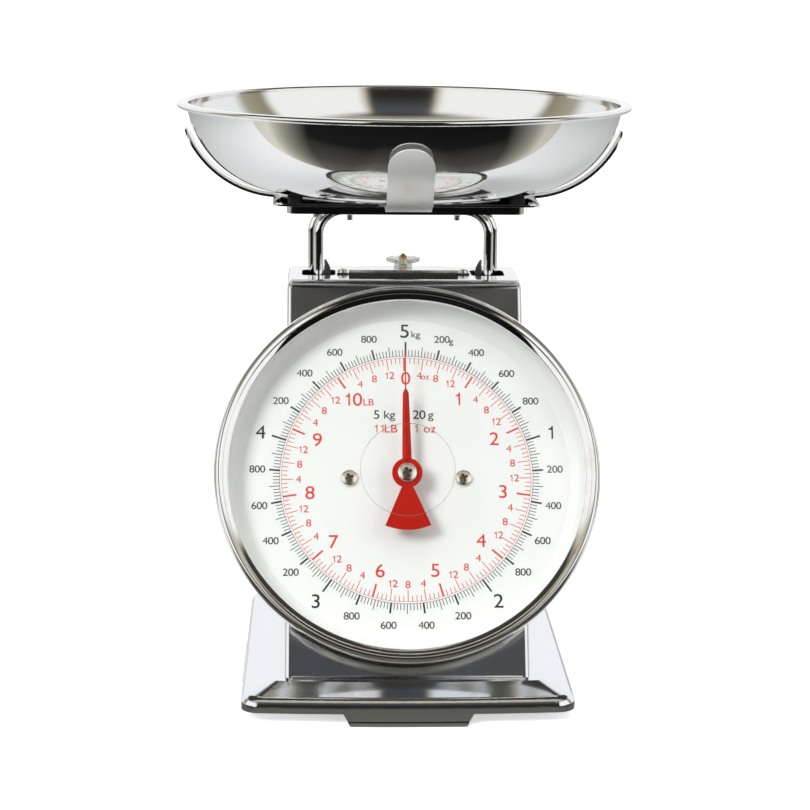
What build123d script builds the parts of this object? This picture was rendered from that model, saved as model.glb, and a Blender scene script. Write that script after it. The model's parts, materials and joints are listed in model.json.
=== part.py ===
from build123d import *
import os
from math import acos, asin, ceil, cos, degrees, pi, radians, sin, sqrt, tan

# Dial kitchen scale with a lift-off bowl.
# Millimetres, +Z up, seen from the front along +Y.
# The pieces are drawn with the bowl's axis on X = Y = 0 and the table at Z = 0.
# They are moved along Y at the end, so that the origin is under the middle of the whole scale.

# Pressed sheet of the housing, base, drum and covers
sheet = 0.8

# Base pan
base_width = 160.0
base_depth = 176.0
base_bow = 3.0            # how far the front and rear edges bulge
base_corner = 9.0
foot_height = 6.0         # table to the lower edge of the skirt
skirt_height = 6.2
slope_rise = 4.6
slope_run = 15.0
rim_round = 5.0           # rounding between skirt and slope
foot_width = 62.0         # foot tongue at the skirt
foot_taper = 3.4          # narrowing of a tongue on each side
foot_hem = 1.2            # turned-out edge that stands on the table
hem_height = 2.0

# Housing, a wedge with an inclined front and a vertical rear wall
housing_width = 118.5
face_length = 200.7       # along the inclined front
face_tilt = 27.0          # degrees back from vertical
face_setback = 18.6       # front edge of the base to the foot of the inclined front
top_depth = 51.0
housing_corner = 2.4
housing_brow = 6.5        # rounding between the inclined front and the top
bottom_flange = 20.0
rear_flange = 12.0
cover_overlap = 7.0       # rear cover beyond its opening

# Drum, dial, lens and bezel, round the dial axis
dial_up_face = 97.2       # dial axis above the foot of the inclined front
drum_radius = 90.5
drum_depth = 17.4
dial_flat_radius = 80.5
dial_ledge = 2.6          # dial flange inside the drum's wall
dial_height = 5.6         # printed face in front of the housing face
dial_screw_spread = 28.0
dial_screw_head = 4.1     # radius
dial_screw_rise = 2.2
lens_thickness = 1.8
lens_crown = 4.9          # rise of the domed lens
lens_boss_radius = 23.0
lens_border = 6.5         # flat edge under the bezel
lens_clearance = 0.2
lens_boss_step = 0.45
bezel_roll = 3.6          # radius of the rolled front
bezel_skirt = 9.4         # length of the skirt over the drum
bezel_clearance = 0.15

# Pointer and its spindle
pointer_length = 62.0
pointer_tail = 28.2
pointer_tail_angle = 21.0  # half angle of the tail fan
tail_apex = 3.0            # where the fan's edges meet, above the hub's middle
pointer_hub_radius = 7.4
pointer_boss = 3.5         # radius of the sleeve on the spindle
pointer_root = 4.6         # width at the hub
pointer_shoulder = 3.1     # width where the needle begins
pointer_needle = 0.7       # width of the needle
pointer_tip = 0.5
needle_start = 0.635       # share of the length
pointer_thickness = 0.9
pointer_standoff = 12.4   # pointer in front of the printed face
spindle_radius = 1.5
spindle_screw_head = 4.7
spindle_screw_length = 6.0
running_fit = 0.04        # radial clearance of turning pins and shafts

# Rack and pinion
tooth_module = 0.6
pinion_teeth = 12
pressure_angle = 25.0
addendum = 0.8            # in modules
dedendum = 1.0            # in modules
backlash = 0.16
pinion_depth = 14.0       # behind the inclined front
pinion_width = 8.0
rack_thickness = 6.0
rack_body = 7.0
rack_pin_up = 36.0        # link pin above the dial axis, along the front
rack_head = 5.0           # bar above its link pin
rack_guide_width = 5.0
rack_guide_length = 12.0
rack_guide_gap = 0.3
arm_lip = 1.4             # arm round the slot of the link pin
link_gap = 3.5            # rack to the arm that carries its link pin
link_pin_end = 2.0        # link pin beyond the arm that carries it

# Load carrier
load_travel = 20.5        # full capacity and a little more
load_lift = 1.0           # play above the rest position
platform_gap = 39.9       # housing top to platform top
platform_width = 118.6
platform_depth = 70.0
platform_flange = 5.2
platform_sheet = 1.0
platform_corner = 5.0
rod_diameter = 5.0
front_rod_inset = 31.7  # both legs of the front bail together, in from the housing's sides
rear_rod_inset = 25.5
front_rod_spread = housing_width - front_rod_inset
rear_rod_spread = housing_width - rear_rod_inset
rod_stagger = 12.0        # between the front bail and the rear bail
rod_bend = 12.5
saddle_height = 3.6       # strips under the platform that the rods are welded to
rod_tail = 2.0            # leg below the lower yoke
weld_flat = 0.3           # depth of the flat where a rod is welded to the platform
yoke_thickness = 2.0
yoke_overhang = 2.5       # yoke plate beyond the rods
yoke_depth = 37.0
yoke_drop = 11.0          # housing top to the upper yoke
yoke_spacing = 78.0
yoke_ear = 9.0
ear_gap = 1.5             # yoke ear to lever arm
notch_gap = 2.0           # lever arm to the sides of its notch
gusset_height = 7.0       # stiffening lug above the housing top
gusset_reach = 3.4
gusset_gap = 0.3          # lug to rod
spring_window_gap = 4.0   # springs to the sides of the upper yoke's window
hook_tab = 9.0            # width of a spring tab
hook_tab_head = 5.0       # tab above its hook hole

# Cradle and pads that hold the bowl
cradle_width = 132.0
cradle_depth = 94.0
cradle_sheet = 1.4
cradle_corner = 6.0
arm_width = 22.0
arm_rise = 70.0           # degrees of the bowl's side that an arm follows
pad_size = 7.4
pad_height = 2.8
pad_spread_x = 110.0
pad_spread_y = 73.0
cradle_screw_spread = 55.0
cradle_screw_length = 14.0

# Bowl
bowl_diameter = 230.0
bowl_depth = 44.0
bowl_corner = 48.0        # outside radius of the turned-up side
bowl_wall = 0.8
bowl_rim_width = 5.0
bowl_rim_bead = 3.0

# Guide levers
lever_reach = 40.0        # pivot to yoke pin, along Y
lever_sheet = 1.5
lever_height = 8.0
lever_spread = 70.0
lever_pin_rear = 14.0     # yoke pin behind the bowl axis
lever_pin_drop = 8.0      # yoke pin below its yoke
lever_pin_radius = 1.5
lever_slot_play = 0.25
lever_tail = 8.0

# Chassis inside the housing
chassis_sheet = 1.5
chassis_gap = 3.7         # side plate to housing wall
chassis_foot = 14.0
movement_depth = 27.0     # movement plate behind the inclined front
movement_up = 8.0
movement_down = 26.0
movement_flange = 12.0
bush_radius = 4.0
bush_flange = 6.5
bush_lip = 1.5             # thickness of a bush's flange
chassis_setback = 52.0     # foot of the inclined front to the side plates
chassis_head_gap = 10.0    # side plates below the housing top
chassis_rear_gap = 7.5
chassis_front_gap = 18.0   # side plates below the inclined front

# Springs and the zero adjuster
spring_offset = 13.0
spring_radius = 5.8
spring_wire = 1.8
spring_ring = 4.0
spring_span = 57.0        # between the two hook holes
hanger_drop = 27.0        # housing top to the hook holes of the hanger
hanger_sheet = 2.0
hanger_margin = 4.0       # metal round a hook hole
stud_radius = 2.0
stud_rise = 2.2           # stud above the knob
knob_radius = 8.7
knob_height = 2.0
knob_hub_radius = 4.85
knob_hub_height = 2.9
knob_flutes = 24
flute_radius = 0.6
bracket_width = 56.0
bracket_rear_width = 41.0
bracket_depth = 16.0
bracket_y = -2.5          # middle of the bracket in front of the stud
bracket_height = 3.0
bracket_ear = 6.0
bracket_ear_depth = 7.0
slot_width = 17.2
slot_length = 19.0

# Screws
screw_radius = 1.5
screw_head_radius = 2.7
screw_head_height = 1.6
screw_clearance = 0.15
nut_across = 5.5
nut_height = 2.4
touch = 0.02              # gap that keeps a fixed pin clear of its hole

# Levels and places that follow from the sizes above
tilt = radians(face_tilt)
deck_z = foot_height + skirt_height + slope_rise
skirt_top_z = foot_height + skirt_height
top_z = deck_z + face_length * cos(tilt)
rear_y = top_depth / 2
top_front_y = -top_depth / 2
face_foot_y = top_front_y - face_length * sin(tilt)
base_front_y = face_foot_y - face_setback
base_rear_y = base_front_y + base_depth
platform_z = top_z + platform_gap
cradle_z = platform_z + cradle_sheet
bowl_z = cradle_z + pad_height
bowl_radius = bowl_diameter / 2
front_reach = base_bow + foot_hem - base_front_y
axis_y = (front_reach - bowl_radius) / 2
upper_yoke_z = top_z - yoke_drop
lower_yoke_z = upper_yoke_z - yoke_spacing
rod_radius = rod_diameter / 2
front_rod_x = front_rod_spread / 2
rear_rod_x = rear_rod_spread / 2
rod_y = rod_stagger / 2
saddle_z = platform_z - platform_sheet - saddle_height
rod_top_z = saddle_z - rod_radius + weld_flat
slot_centre = front_rod_x
hook_z = top_z - hanger_drop
lever_rise = load_travel / 2
chassis_x = housing_width / 2 - sheet - chassis_gap
pitch_radius = tooth_module * pinion_teeth / 2
lens_z = drum_depth + sheet
pointer_n = dial_height + pointer_standoff
rack_n = -(pinion_depth + pinion_width / 2)
bracket_top_z = top_z + bracket_height

# The dial's own frame: X across, Y up the inclined front, Z out of the dial
dial = Plane(
    origin=(0, face_foot_y + dial_up_face * sin(tilt), deck_z + dial_up_face * cos(tilt)),
    x_dir=(1, 0, 0),
    z_dir=(0, -cos(tilt), sin(tilt)),
)


def on_dial(shape):
    """A shape drawn in the dial's frame, in its place on the scale."""
    return dial.location * shape


def dial_point(up, out):
    """Y and Z of a point up the front and out of it, in the middle plane."""
    y = dial.origin.Y + up * sin(tilt) - out * cos(tilt)
    z = dial.origin.Z + up * cos(tilt) + out * sin(tilt)
    return y, z


def ring(outer, inner, low, high):
    """A round sleeve along Z."""
    body = Pos(0, 0, (low + high) / 2) * Cylinder(outer, high - low)
    if inner > 0:
        body -= Pos(0, 0, (low + high) / 2) * Cylinder(inner, high - low + 2)
    return body


def rod_along_x(radius, low, high, y, z):
    """A round rod along X."""
    return Pos((low + high) / 2, y, z) * Rot(0, 90, 0) * Cylinder(radius, high - low)


def side_plate(points, low, high):
    """A flat plate cut to an outline of Y and Z points, from X low to X high."""
    face = make_face(Polyline(*points, close=True))
    return Pos(low, 0, 0) * extrude(Plane.YZ * face, high - low)


def turned(points_and_arcs):
    """A turned piece from its half section of radius and height lines."""
    return revolve(Plane.XZ * make_face(points_and_arcs), Axis.Z)


def pan_screw(length, head_radius, head_height, shank):
    """A pan-head screw with a cross recess, the head's seat at Z = 0 and the shank below."""
    low = 0.4 * head_height
    crown = 0.55 * head_radius
    section = Polyline(
        (0, head_height), (0, -length), (shank, -length), (shank, 0), (head_radius, 0), (head_radius, low)
    )
    section += ThreePointArc(
        (head_radius, low), (0.88 * head_radius, 0.82 * head_height), (crown, head_height)
    )
    section += Line((crown, head_height), (0, head_height))
    recess = Box(head_radius, 0.2 * head_radius, head_height)
    recess += Box(0.2 * head_radius, head_radius, head_height)
    return turned(section) - Pos(0, 0, 1.05 * head_height) * recess


def hex_nut(across, height, bore):
    """A plain hexagon nut on Z = 0."""
    body = extrude(RegularPolygon(across / 2, 6, major_radius=False), height)
    return body - ring(bore, 0, -1, height + 1)


def base_outline(inset):
    """Plan of the base with bowed front and rear edges."""
    half = base_width / 2 - inset
    front = base_front_y + inset
    rear = base_rear_y - inset
    edges = ThreePointArc((-half, front), (0, front - base_bow), (half, front))
    edges += Line((half, front), (half, rear))
    edges += ThreePointArc((half, rear), (0, rear + base_bow), (-half, rear))
    edges += Line((-half, rear), (-half, front))
    face = make_face(edges)
    return fillet(face.vertices(), max(base_corner - inset, base_corner * 0.4))


def pan_form(inset, low):
    """The full form of the pan: upright skirt, rounded rim and slope up to the deck."""
    skirt = Pos(0, 0, low) * extrude(base_outline(inset), skirt_top_z - inset - low)
    slope = loft(
        [
            Pos(0, 0, skirt_top_z - inset) * base_outline(inset),
            Pos(0, 0, deck_z - inset) * base_outline(slope_run + inset),
        ],
        ruled=True,
    )
    body = skirt + slope
    rim = body.edges().filter_by(lambda e: abs(e.center().Z - skirt_top_z + inset) < 0.01)
    return fillet(rim, rim_round - inset)


def foot_prisms(extra):
    """Tapered blocks that cut the foot tongues out of a band round the skirt."""
    top = foot_width / 2 + extra
    low = foot_width / 2 - foot_taper + extra
    tongue = make_face(
        Polyline((-low, 0), (low, 0), (top, foot_height), (-top, foot_height), close=True)
    )
    middle = (base_front_y + base_rear_y) / 2
    reach = base_width + base_depth
    across = extrude(Plane.XZ * tongue, reach, both=True)
    along = Pos(0, middle, 0) * extrude(Plane.YZ * tongue, reach, both=True)
    return across + along


def base_pan():
    """Pressed base with a hollow underside, standing on a tongue in the middle of each side."""
    pan = pan_form(0, foot_height) - pan_form(sheet, foot_height - 1)
    skirt_band = extrude(base_outline(0) - base_outline(sheet), foot_height)
    hem_band = extrude(base_outline(-foot_hem) - base_outline(sheet), hem_height)
    pan += (skirt_band + hem_band) & foot_prisms(0)
    for x, y in base_screw_places():
        pan -= Pos(x, y, deck_z) * Cylinder(screw_radius + screw_clearance, 4 * sheet)
    return pan


def wedge(inset, low):
    """The housing's outer form, or its inside when inset by the sheet."""
    side = make_face(
        Polyline(
            (face_foot_y, deck_z),
            (top_front_y, top_z),
            (rear_y, top_z),
            (rear_y, deck_z),
            close=True,
        )
    )
    if inset > 0:
        side = offset(side, -inset, kind=Kind.INTERSECTION)
    body = extrude(Plane.YZ * side, housing_width / 2 - inset, both=True)
    brow = body.edges().filter_by(Axis.X).group_by(Axis.Z)[-1].sort_by(Axis.Y)[0]
    body = fillet(brow, housing_brow - inset)
    rear_top = body.edges().filter_by(Axis.X).sort_by(lambda e: e.center().Y + e.center().Z)[-1]
    sides = body.edges().filter_by(Axis.X, reverse=True).filter_by(lambda e: e.center().Z > low + 1)
    return fillet(sides + [rear_top], housing_corner - inset)


def base_screw_places():
    """Screws that hold the chassis and the housing down on the base."""
    x = chassis_x - chassis_foot / 2
    return [(sx * x, y) for sx in (-1, 1) for y in (chassis_front_y() + chassis_foot, rear_y - chassis_foot)]


def cover_screw_places():
    """Screws of the rear cover, X and Z."""
    x = housing_width / 2 - rear_flange + cover_overlap / 2
    low = deck_z + rear_flange - cover_overlap / 2
    high = top_z - rear_flange + cover_overlap / 2
    return [(sx * x, z) for sx in (-1, 1) for z in (low, high)]


def rear_opening(extra, low_y, high_y):
    """Block over the service opening in the rear wall."""
    width = housing_width - 2 * rear_flange + 2 * extra
    height = top_z - deck_z - 2 * rear_flange + 2 * extra
    middle = Pos(0, (low_y + high_y) / 2, (top_z + deck_z) / 2)
    return middle * Box(width, high_y - low_y, height)


def housing_shell():
    """Folded wedge housing: front, sides, top, a frame round the rear opening and a floor flange."""
    shell = wedge(0, deck_z) - wedge(sheet, deck_z + sheet)
    shell -= rear_opening(0, rear_y - 5, rear_y + 5)
    floor_depth = rear_y - face_foot_y - 2 * bottom_flange
    floor_y = (rear_y + face_foot_y) / 2
    shell -= Pos(0, floor_y, deck_z) * Box(housing_width - 2 * bottom_flange, floor_depth, 4 * sheet)
    for sx in (-1, 1):
        slot = extrude(RectangleRounded(slot_width, slot_length, 3), 6 * sheet)
        shell -= Pos(sx * slot_centre, 0, top_z - 3 * sheet) * slot
        ear_x = sx * (bracket_width + bracket_ear) / 2
        shell -= Pos(ear_x, bracket_y, top_z) * Cylinder(screw_radius + screw_clearance, 6 * sheet)
        dial_hole = Pos(sx * dial_screw_spread, 0, 0) * Cylinder(screw_radius + screw_clearance, 6 * sheet)
        shell -= on_dial(dial_hole)
    shell -= Pos(0, 0, top_z) * Cylinder(stud_radius + 1, 6 * sheet)
    shell -= on_dial(Cylinder(bush_radius + touch, 6 * sheet))
    for x, y in base_screw_places():
        shell -= Pos(x, y, deck_z) * Cylinder(screw_radius + screw_clearance, 6 * sheet)
    for x, z in cover_screw_places():
        shell -= Pos(x, rear_y, z) * Rot(90, 0, 0) * Cylinder(screw_radius + screw_clearance, 6 * sheet)
    return shell


def rear_cover():
    """Flat cover over the service opening."""
    cover = rear_opening(cover_overlap, rear_y, rear_y + sheet)
    corners = cover.edges().filter_by(Axis.Y)
    cover = fillet(corners, 4)
    for x, z in cover_screw_places():
        cover -= Pos(x, rear_y, z) * Rot(90, 0, 0) * Cylinder(screw_radius + screw_clearance, 6 * sheet)
    return cover


def rear_cover_screws():
    """Four screws of the rear cover."""
    screws = []
    for x, z in cover_screw_places():
        screw = pan_screw(2 * sheet + nut_height, screw_head_radius, screw_head_height, screw_radius)
        screws.append(Pos(x, rear_y + sheet, z) * Rot(-90, 0, 0) * screw)
    return screws


def base_screws():
    """Four screws up through the base, the housing floor and the chassis feet."""
    length = 2 * sheet + chassis_sheet + nut_height
    screws = []
    for x, y in base_screw_places():
        screw = pan_screw(length, screw_head_radius, screw_head_height, screw_radius)
        screws.append(Pos(x, y, deck_z - sheet) * Rot(180, 0, 0) * screw)
    return screws


def dial_drum():
    """Round cup on the inclined front that carries dial, lens and bezel."""
    cup = ring(drum_radius, 0, 0, drum_depth) - ring(drum_radius - sheet, 0, sheet, drum_depth + 1)
    cup -= Cylinder(bush_radius + touch, 6 * sheet)
    for sx in (-1, 1):
        cup -= Pos(sx * dial_screw_spread, 0, 0) * Cylinder(screw_radius + screw_clearance, 6 * sheet)
    return on_dial(cup)


def dial_plate():
    """Enamelled dish: flat printed face, hollowed wall and a flange over the drum's edge."""
    flat = dial_flat_radius
    top = drum_radius - sheet - dial_ledge
    low = dial_height - sheet
    middle = (flat + 0.72 * (top - flat), dial_height + 0.32 * (lens_z - dial_height))
    section = Line((bush_flange, low), (flat, low))
    behind = (middle[0] + sheet, middle[1] - sheet / 2)
    section += ThreePointArc((flat, low), behind, (top + sheet, drum_depth))
    section += Polyline(
        (top + sheet, drum_depth), (drum_radius, drum_depth), (drum_radius, lens_z), (top, lens_z)
    )
    section += ThreePointArc((top, lens_z), middle, (flat, dial_height))
    section += Polyline((flat, dial_height), (bush_flange, dial_height), (bush_flange, low))
    plate = turned(section)
    for sx in (-1, 1):
        hole = Cylinder(screw_radius + screw_clearance, 6 * sheet)
        plate -= Pos(sx * dial_screw_spread, 0, dial_height) * hole
    return on_dial(plate)


def dial_spacers():
    """Two sleeves that hold the dial off the drum floor."""
    sleeves = []
    for sx in (-1, 1):
        sleeve = ring(dial_screw_head, screw_radius + screw_clearance, sheet, dial_height - sheet)
        sleeves.append(on_dial(Pos(sx * dial_screw_spread, 0, 0) * sleeve))
    return sleeves


def dial_screws():
    """Two cross-head screws through dial, spacers, drum and housing."""
    screws = []
    for sx in (-1, 1):
        length = dial_height + 2 * sheet + nut_height
        screw = pan_screw(length, dial_screw_head, dial_screw_rise, screw_radius)
        screws.append(on_dial(Pos(sx * dial_screw_spread, 0, dial_height) * screw))
    return screws


def lens():
    """Clear domed window with a raised round boss in the middle."""
    rim = drum_radius - lens_clearance
    edge = drum_radius - lens_border
    low = lens_z
    high = lens_z + lens_thickness
    crown = high + lens_crown
    arc_radius = (edge * edge + lens_crown * lens_crown) / (2 * lens_crown)
    half = edge / 2
    sink = arc_radius - sqrt(arc_radius * arc_radius - half * half)
    section = Polyline((0, low + lens_crown), (0, crown))
    section += ThreePointArc((0, crown), (half, crown - sink), (edge, high))
    section += Polyline((edge, high), (rim, high), (rim, low), (edge, low))
    section += ThreePointArc((edge, low), (half, low + lens_crown - sink), (0, low + lens_crown))
    window = turned(section)
    boss_sink = arc_radius - sqrt(arc_radius * arc_radius - lens_boss_radius * lens_boss_radius)
    boss_top = crown - boss_sink + lens_boss_step
    window += ring(lens_boss_radius, 0, boss_top - lens_boss_step - lens_thickness / 2, boss_top)
    return on_dial(window)


def bezel():
    """Rolled ring over the lens with a skirt round the drum."""
    inside = drum_radius + bezel_clearance
    outside = inside + sheet
    seat = lens_z + lens_thickness
    roll_r = inside - 0.65
    roll_n = seat + 1.0
    start = -acos((outside - roll_r) / bezel_roll)
    begin = (outside, roll_n + bezel_roll * sin(start))
    edge = drum_depth - bezel_skirt
    section = Polyline((inside, seat), (inside, edge), (outside, edge), begin)
    section += ThreePointArc(begin, (roll_r, roll_n + bezel_roll), (roll_r - bezel_roll, roll_n))
    section += Polyline((roll_r - bezel_roll, roll_n), (roll_r - bezel_roll, seat), (inside, seat))
    return on_dial(turned(section))


def front_bush():
    """Flanged bearing through the housing face and the drum floor."""
    bush = ring(bush_radius, 0, -sheet, dial_height - 2 * sheet)
    bush += ring(bush_flange, 0, -sheet - bush_lip, -sheet)
    return on_dial(bush - Cylinder(spindle_radius + running_fit, 4 * movement_depth))


def movement_plate():
    """Plate behind the front that carries the rear bearing and the rack guide."""
    half = chassis_x - chassis_sheet
    height = movement_up + movement_down
    middle = (movement_up - movement_down) / 2
    low = -movement_depth - chassis_sheet
    plate = Pos(0, middle, low + chassis_sheet / 2) * Box(2 * half, height, chassis_sheet)
    for sx in (-1, 1):
        flange = Box(chassis_sheet, height, movement_flange)
        plate += Pos(sx * (half - chassis_sheet / 2), middle, low - movement_flange / 2) * flange
    plate -= Pos(0, 0, low) * Cylinder(bush_radius + touch, 4 * chassis_sheet)
    return on_dial(plate)


def rear_bush():
    """Flanged bearing in the movement plate."""
    low = -movement_depth - chassis_sheet
    bush = ring(bush_radius, 0, low - bush_lip, -movement_depth)
    bush += ring(bush_flange, 0, -movement_depth, -movement_depth + bush_lip)
    bush -= Pos(0, 0, low) * Cylinder(spindle_radius + running_fit, 4 * movement_depth)
    return on_dial(bush)


def rack_edges():
    """X of the rack's toothed line and of its back."""
    root = pitch_radius + dedendum * tooth_module
    return root, root + rack_body


def rack_guide():
    """Block on the movement plate that keeps the rack in mesh."""
    back = rack_edges()[1] + rack_guide_gap
    low = -movement_depth
    high = rack_n + rack_thickness / 2
    block = Box(rack_guide_width, rack_guide_length, high - low)
    block = Pos(back + rack_guide_width / 2, 0, (low + high) / 2) * block
    return on_dial(block)


def rack():
    """Toothed bar behind the dial, with the link pin at its upper end."""
    pitch = pi * tooth_module
    root, back = rack_edges()
    tip = pitch_radius - addendum * tooth_module
    slope = tan(radians(pressure_angle))
    half = pitch / 4 - backlash / 4
    at_tip = half - addendum * tooth_module * slope
    at_root = half + dedendum * tooth_module * slope
    last = ceil((load_travel / cos(tilt) + 3 * pitch) / pitch)
    low = -4.5 * pitch
    high = rack_pin_up + rack_head
    points = [(back, low), (root, low)]
    for i in range(-3, last + 1):
        s = i * pitch
        points += [(root, s - at_root), (tip, s - at_tip), (tip, s + at_tip), (root, s + at_root)]
    points += [(root, high), (back, high)]
    bar = extrude(make_face(Polyline(*points, close=True)), rack_thickness / 2, both=True)
    bar = Pos(0, 0, rack_n) * bar
    pin_end = yoke_arm_x() + yoke_thickness + link_pin_end
    pin = rod_along_x(lever_pin_radius, back - link_pin_end, pin_end, rack_pin_up, rack_n)
    return on_dial(bar + pin)


def pinion():
    """Small gear on the spindle with involute teeth."""
    base = pitch_radius * cos(radians(pressure_angle))
    tip = pitch_radius + addendum * tooth_module
    root = pitch_radius - dedendum * tooth_module
    inv = tan(radians(pressure_angle)) - radians(pressure_angle)
    half_at_pitch = (pi * tooth_module / 2 - backlash / 2) / (2 * pitch_radius)
    flank = []
    for i in range(5):
        r = base + (tip - base) * i / 4
        roll = acos(min(1.0, base / r))
        flank.append((r, half_at_pitch + inv - tan(roll) + roll))
    points = []
    for i in range(pinion_teeth):
        middle = 2 * pi * (i + 0.5) / pinion_teeth
        points.append((root, middle - flank[0][1]))
        points += [(r, middle - a) for r, a in flank]
        points += [(r, middle + a) for r, a in reversed(flank)]
        points.append((root, middle + flank[0][1]))
    outline = Polyline(*[(r * cos(a), r * sin(a)) for r, a in points], close=True)
    gear = Pos(0, 0, rack_n - pinion_width / 2) * extrude(make_face(outline), pinion_width)
    gear -= Pos(0, 0, rack_n) * Cylinder(spindle_radius, 4 * pinion_width)
    return on_dial(gear)


def pointer_shaft():
    """Spindle from the pointer to the rear bearing."""
    low = -movement_depth - chassis_sheet - 3
    shaft = ring(spindle_radius, 0, low, pointer_n)
    shaft -= ring(spindle_radius * 0.6, 0, pointer_n - spindle_screw_length, pointer_n + 1)
    return on_dial(shaft)


def pointer():
    """Red pointer: long needle, round hub and a fan-shaped tail."""
    angle = radians(pointer_tail_angle)
    shoulder = needle_start * pointer_length
    right = [(pointer_root / 2, 0), (pointer_shoulder / 2, shoulder)]
    right += [(pointer_needle / 2, shoulder + pointer_shoulder), (pointer_tip / 2, pointer_length)]
    left = [(-x, y) for x, y in reversed(right)]
    needle = make_face(Polyline(*right, *left, close=True))
    reach = tail_apex * cos(angle) + sqrt(pointer_tail ** 2 - (tail_apex * sin(angle)) ** 2)
    side = (reach * sin(angle), tail_apex - reach * cos(angle))
    tail_edges = Line((0, tail_apex), (-side[0], side[1]))
    tail_edges += ThreePointArc((-side[0], side[1]), (0, -pointer_tail), side)
    tail_edges += Line(side, (0, tail_apex))
    outline = needle + Circle(pointer_hub_radius) + make_face(tail_edges)
    hand = Pos(0, 0, pointer_n - pointer_thickness) * extrude(outline, pointer_thickness)
    hand += ring(pointer_boss, 0, dial_height + sheet, pointer_n - pointer_thickness)
    hand -= ring(spindle_radius, 0, 0, pointer_n + 5)
    return on_dial(hand)


def pointer_screw():
    """Cross-head screw that clamps the pointer on its spindle."""
    screw = pan_screw(spindle_screw_length, spindle_screw_head, dial_screw_rise, spindle_radius * 0.6)
    return on_dial(Pos(0, 0, pointer_n) * screw)


def chassis_front_y():
    """Front edge of the chassis side plates."""
    return face_foot_y + chassis_setback


def side_plates(sx):
    """Upright chassis plate on one side, with a foot turned in."""
    front = chassis_front_y()
    shoulder = deck_z + sheet + chassis_setback / tan(tilt) - chassis_front_gap
    head = top_z - chassis_head_gap
    head_front = top_front_y + chassis_head_gap / 2
    rear = rear_y - chassis_rear_gap
    low = deck_z + sheet
    points = [(front, low), (rear, low), (rear, head), (head_front, head), (front, shoulder)]
    inner = chassis_x - chassis_sheet
    plate = side_plate(points, min(sx * inner, sx * chassis_x), max(sx * inner, sx * chassis_x))
    foot_x = chassis_x - chassis_foot / 2
    foot = Box(chassis_foot, rear - front, chassis_sheet)
    plate += Pos(sx * foot_x, (rear + front) / 2, low + chassis_sheet / 2) * foot
    for y, z in lever_pivots():
        plate -= rod_along_x(lever_pin_radius + touch, -housing_width, housing_width, y, z)
    for x, y in base_screw_places():
        plate -= Pos(x, y, low) * Cylinder(screw_radius + screw_clearance, 4 * chassis_sheet)
    return plate


def yoke_pins():
    """Y and Z of the upper and the lower yoke pin."""
    return [(lever_pin_rear, z - yoke_thickness - lever_pin_drop) for z in (upper_yoke_z, lower_yoke_z)]


def lever_pivots():
    """Y and Z of the fixed pivots of the two guide levers."""
    return [(y - lever_reach, z - lever_rise) for y, z in yoke_pins()]


def pivot_pin(which):
    """Fixed pin across the chassis on which a guide lever swings."""
    y, z = lever_pivots()[which]
    end = chassis_x + 1
    return rod_along_x(lever_pin_radius, -end, end, y, z)


def yoke_pin(which):
    """Pin across a yoke that rides in the slots of a guide lever."""
    y, z = yoke_pins()[which]
    end = lever_spread / 2 + lever_sheet / 2 + ear_gap + yoke_thickness + notch_gap
    return rod_along_x(lever_pin_radius, -end, end, y, z)


def guide_lever(which):
    """Two arms joined by a web, drawn level and then raised to the rest position."""
    y, z = lever_pivots()[which]
    length = sqrt(lever_reach ** 2 + lever_rise ** 2)
    shortest = lever_reach
    slot_mid = (length + shortest) / 2
    slot_run = length - shortest + 2 * lever_slot_play
    end = length + lever_height / 2 + 1
    arm = Pos(0, (end - lever_tail) / 2, 0) * Box(lever_sheet, end + lever_tail, lever_height)
    arm = fillet(arm.edges().filter_by(Axis.X), lever_height * 0.4)
    through = 4 * lever_sheet
    hole = rod_along_x(lever_pin_radius + running_fit, -through, through, 0, 0)
    width = lever_pin_radius + lever_slot_play
    slot = rod_along_x(width, -through, through, slot_mid - slot_run / 2, 0)
    slot += rod_along_x(width, -through, through, slot_mid + slot_run / 2, 0)
    slot += Pos(0, slot_mid, 0) * Box(2 * through, slot_run, 2 * width)
    arm -= hole
    arm -= slot
    x = lever_spread / 2
    lever = Pos(x, 0, 0) * arm + Pos(-x, 0, 0) * arm
    web = Box(lever_spread, lever_sheet, lever_height * 0.6)
    lever += Pos(0, -lever_tail + lever_sheet * 1.5, 0) * web
    return Pos(0, y, z) * Rot(degrees(asin(lever_rise / length)), 0, 0) * lever


def yoke_plate(z):
    """Flat plate gripped on the four rod legs, with notches for the lever arms and ears for the pin."""
    width = rear_rod_spread + rod_diameter + 2 * yoke_overhang
    depth = yoke_depth
    plate = Pos(0, 0, z - yoke_thickness / 2) * Box(width, depth, yoke_thickness)
    plate = fillet(plate.edges().filter_by(Axis.Z), 3)
    for sx in (-1, 1):
        notch_depth = depth / 2 + lever_pin_rear - lever_pin_radius - notch_gap
        notch_y = -depth / 2 + notch_depth / 2
        notch = Box(lever_sheet + 2 * notch_gap, notch_depth, 3 * yoke_thickness)
        plate -= Pos(sx * lever_spread / 2, notch_y, z) * notch
        ear_x = sx * (lever_spread / 2 + lever_sheet / 2 + ear_gap + yoke_thickness / 2 + notch_gap / 2)
        ear_height = lever_pin_drop + lever_pin_radius + yoke_thickness
        ear = Box(yoke_thickness, yoke_ear, ear_height)
        plate += Pos(ear_x, lever_pin_rear, z - yoke_thickness - ear_height / 2) * ear
        for x, y in ((front_rod_x, -rod_y), (rear_rod_x, rod_y)):
            plate -= Pos(sx * x, y, z) * Cylinder(rod_radius + touch, 6 * yoke_thickness)
    y = lever_pin_rear
    plate -= rod_along_x(
        lever_pin_radius + touch, -width, width, y, z - yoke_thickness - lever_pin_drop
    )
    return plate


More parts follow.
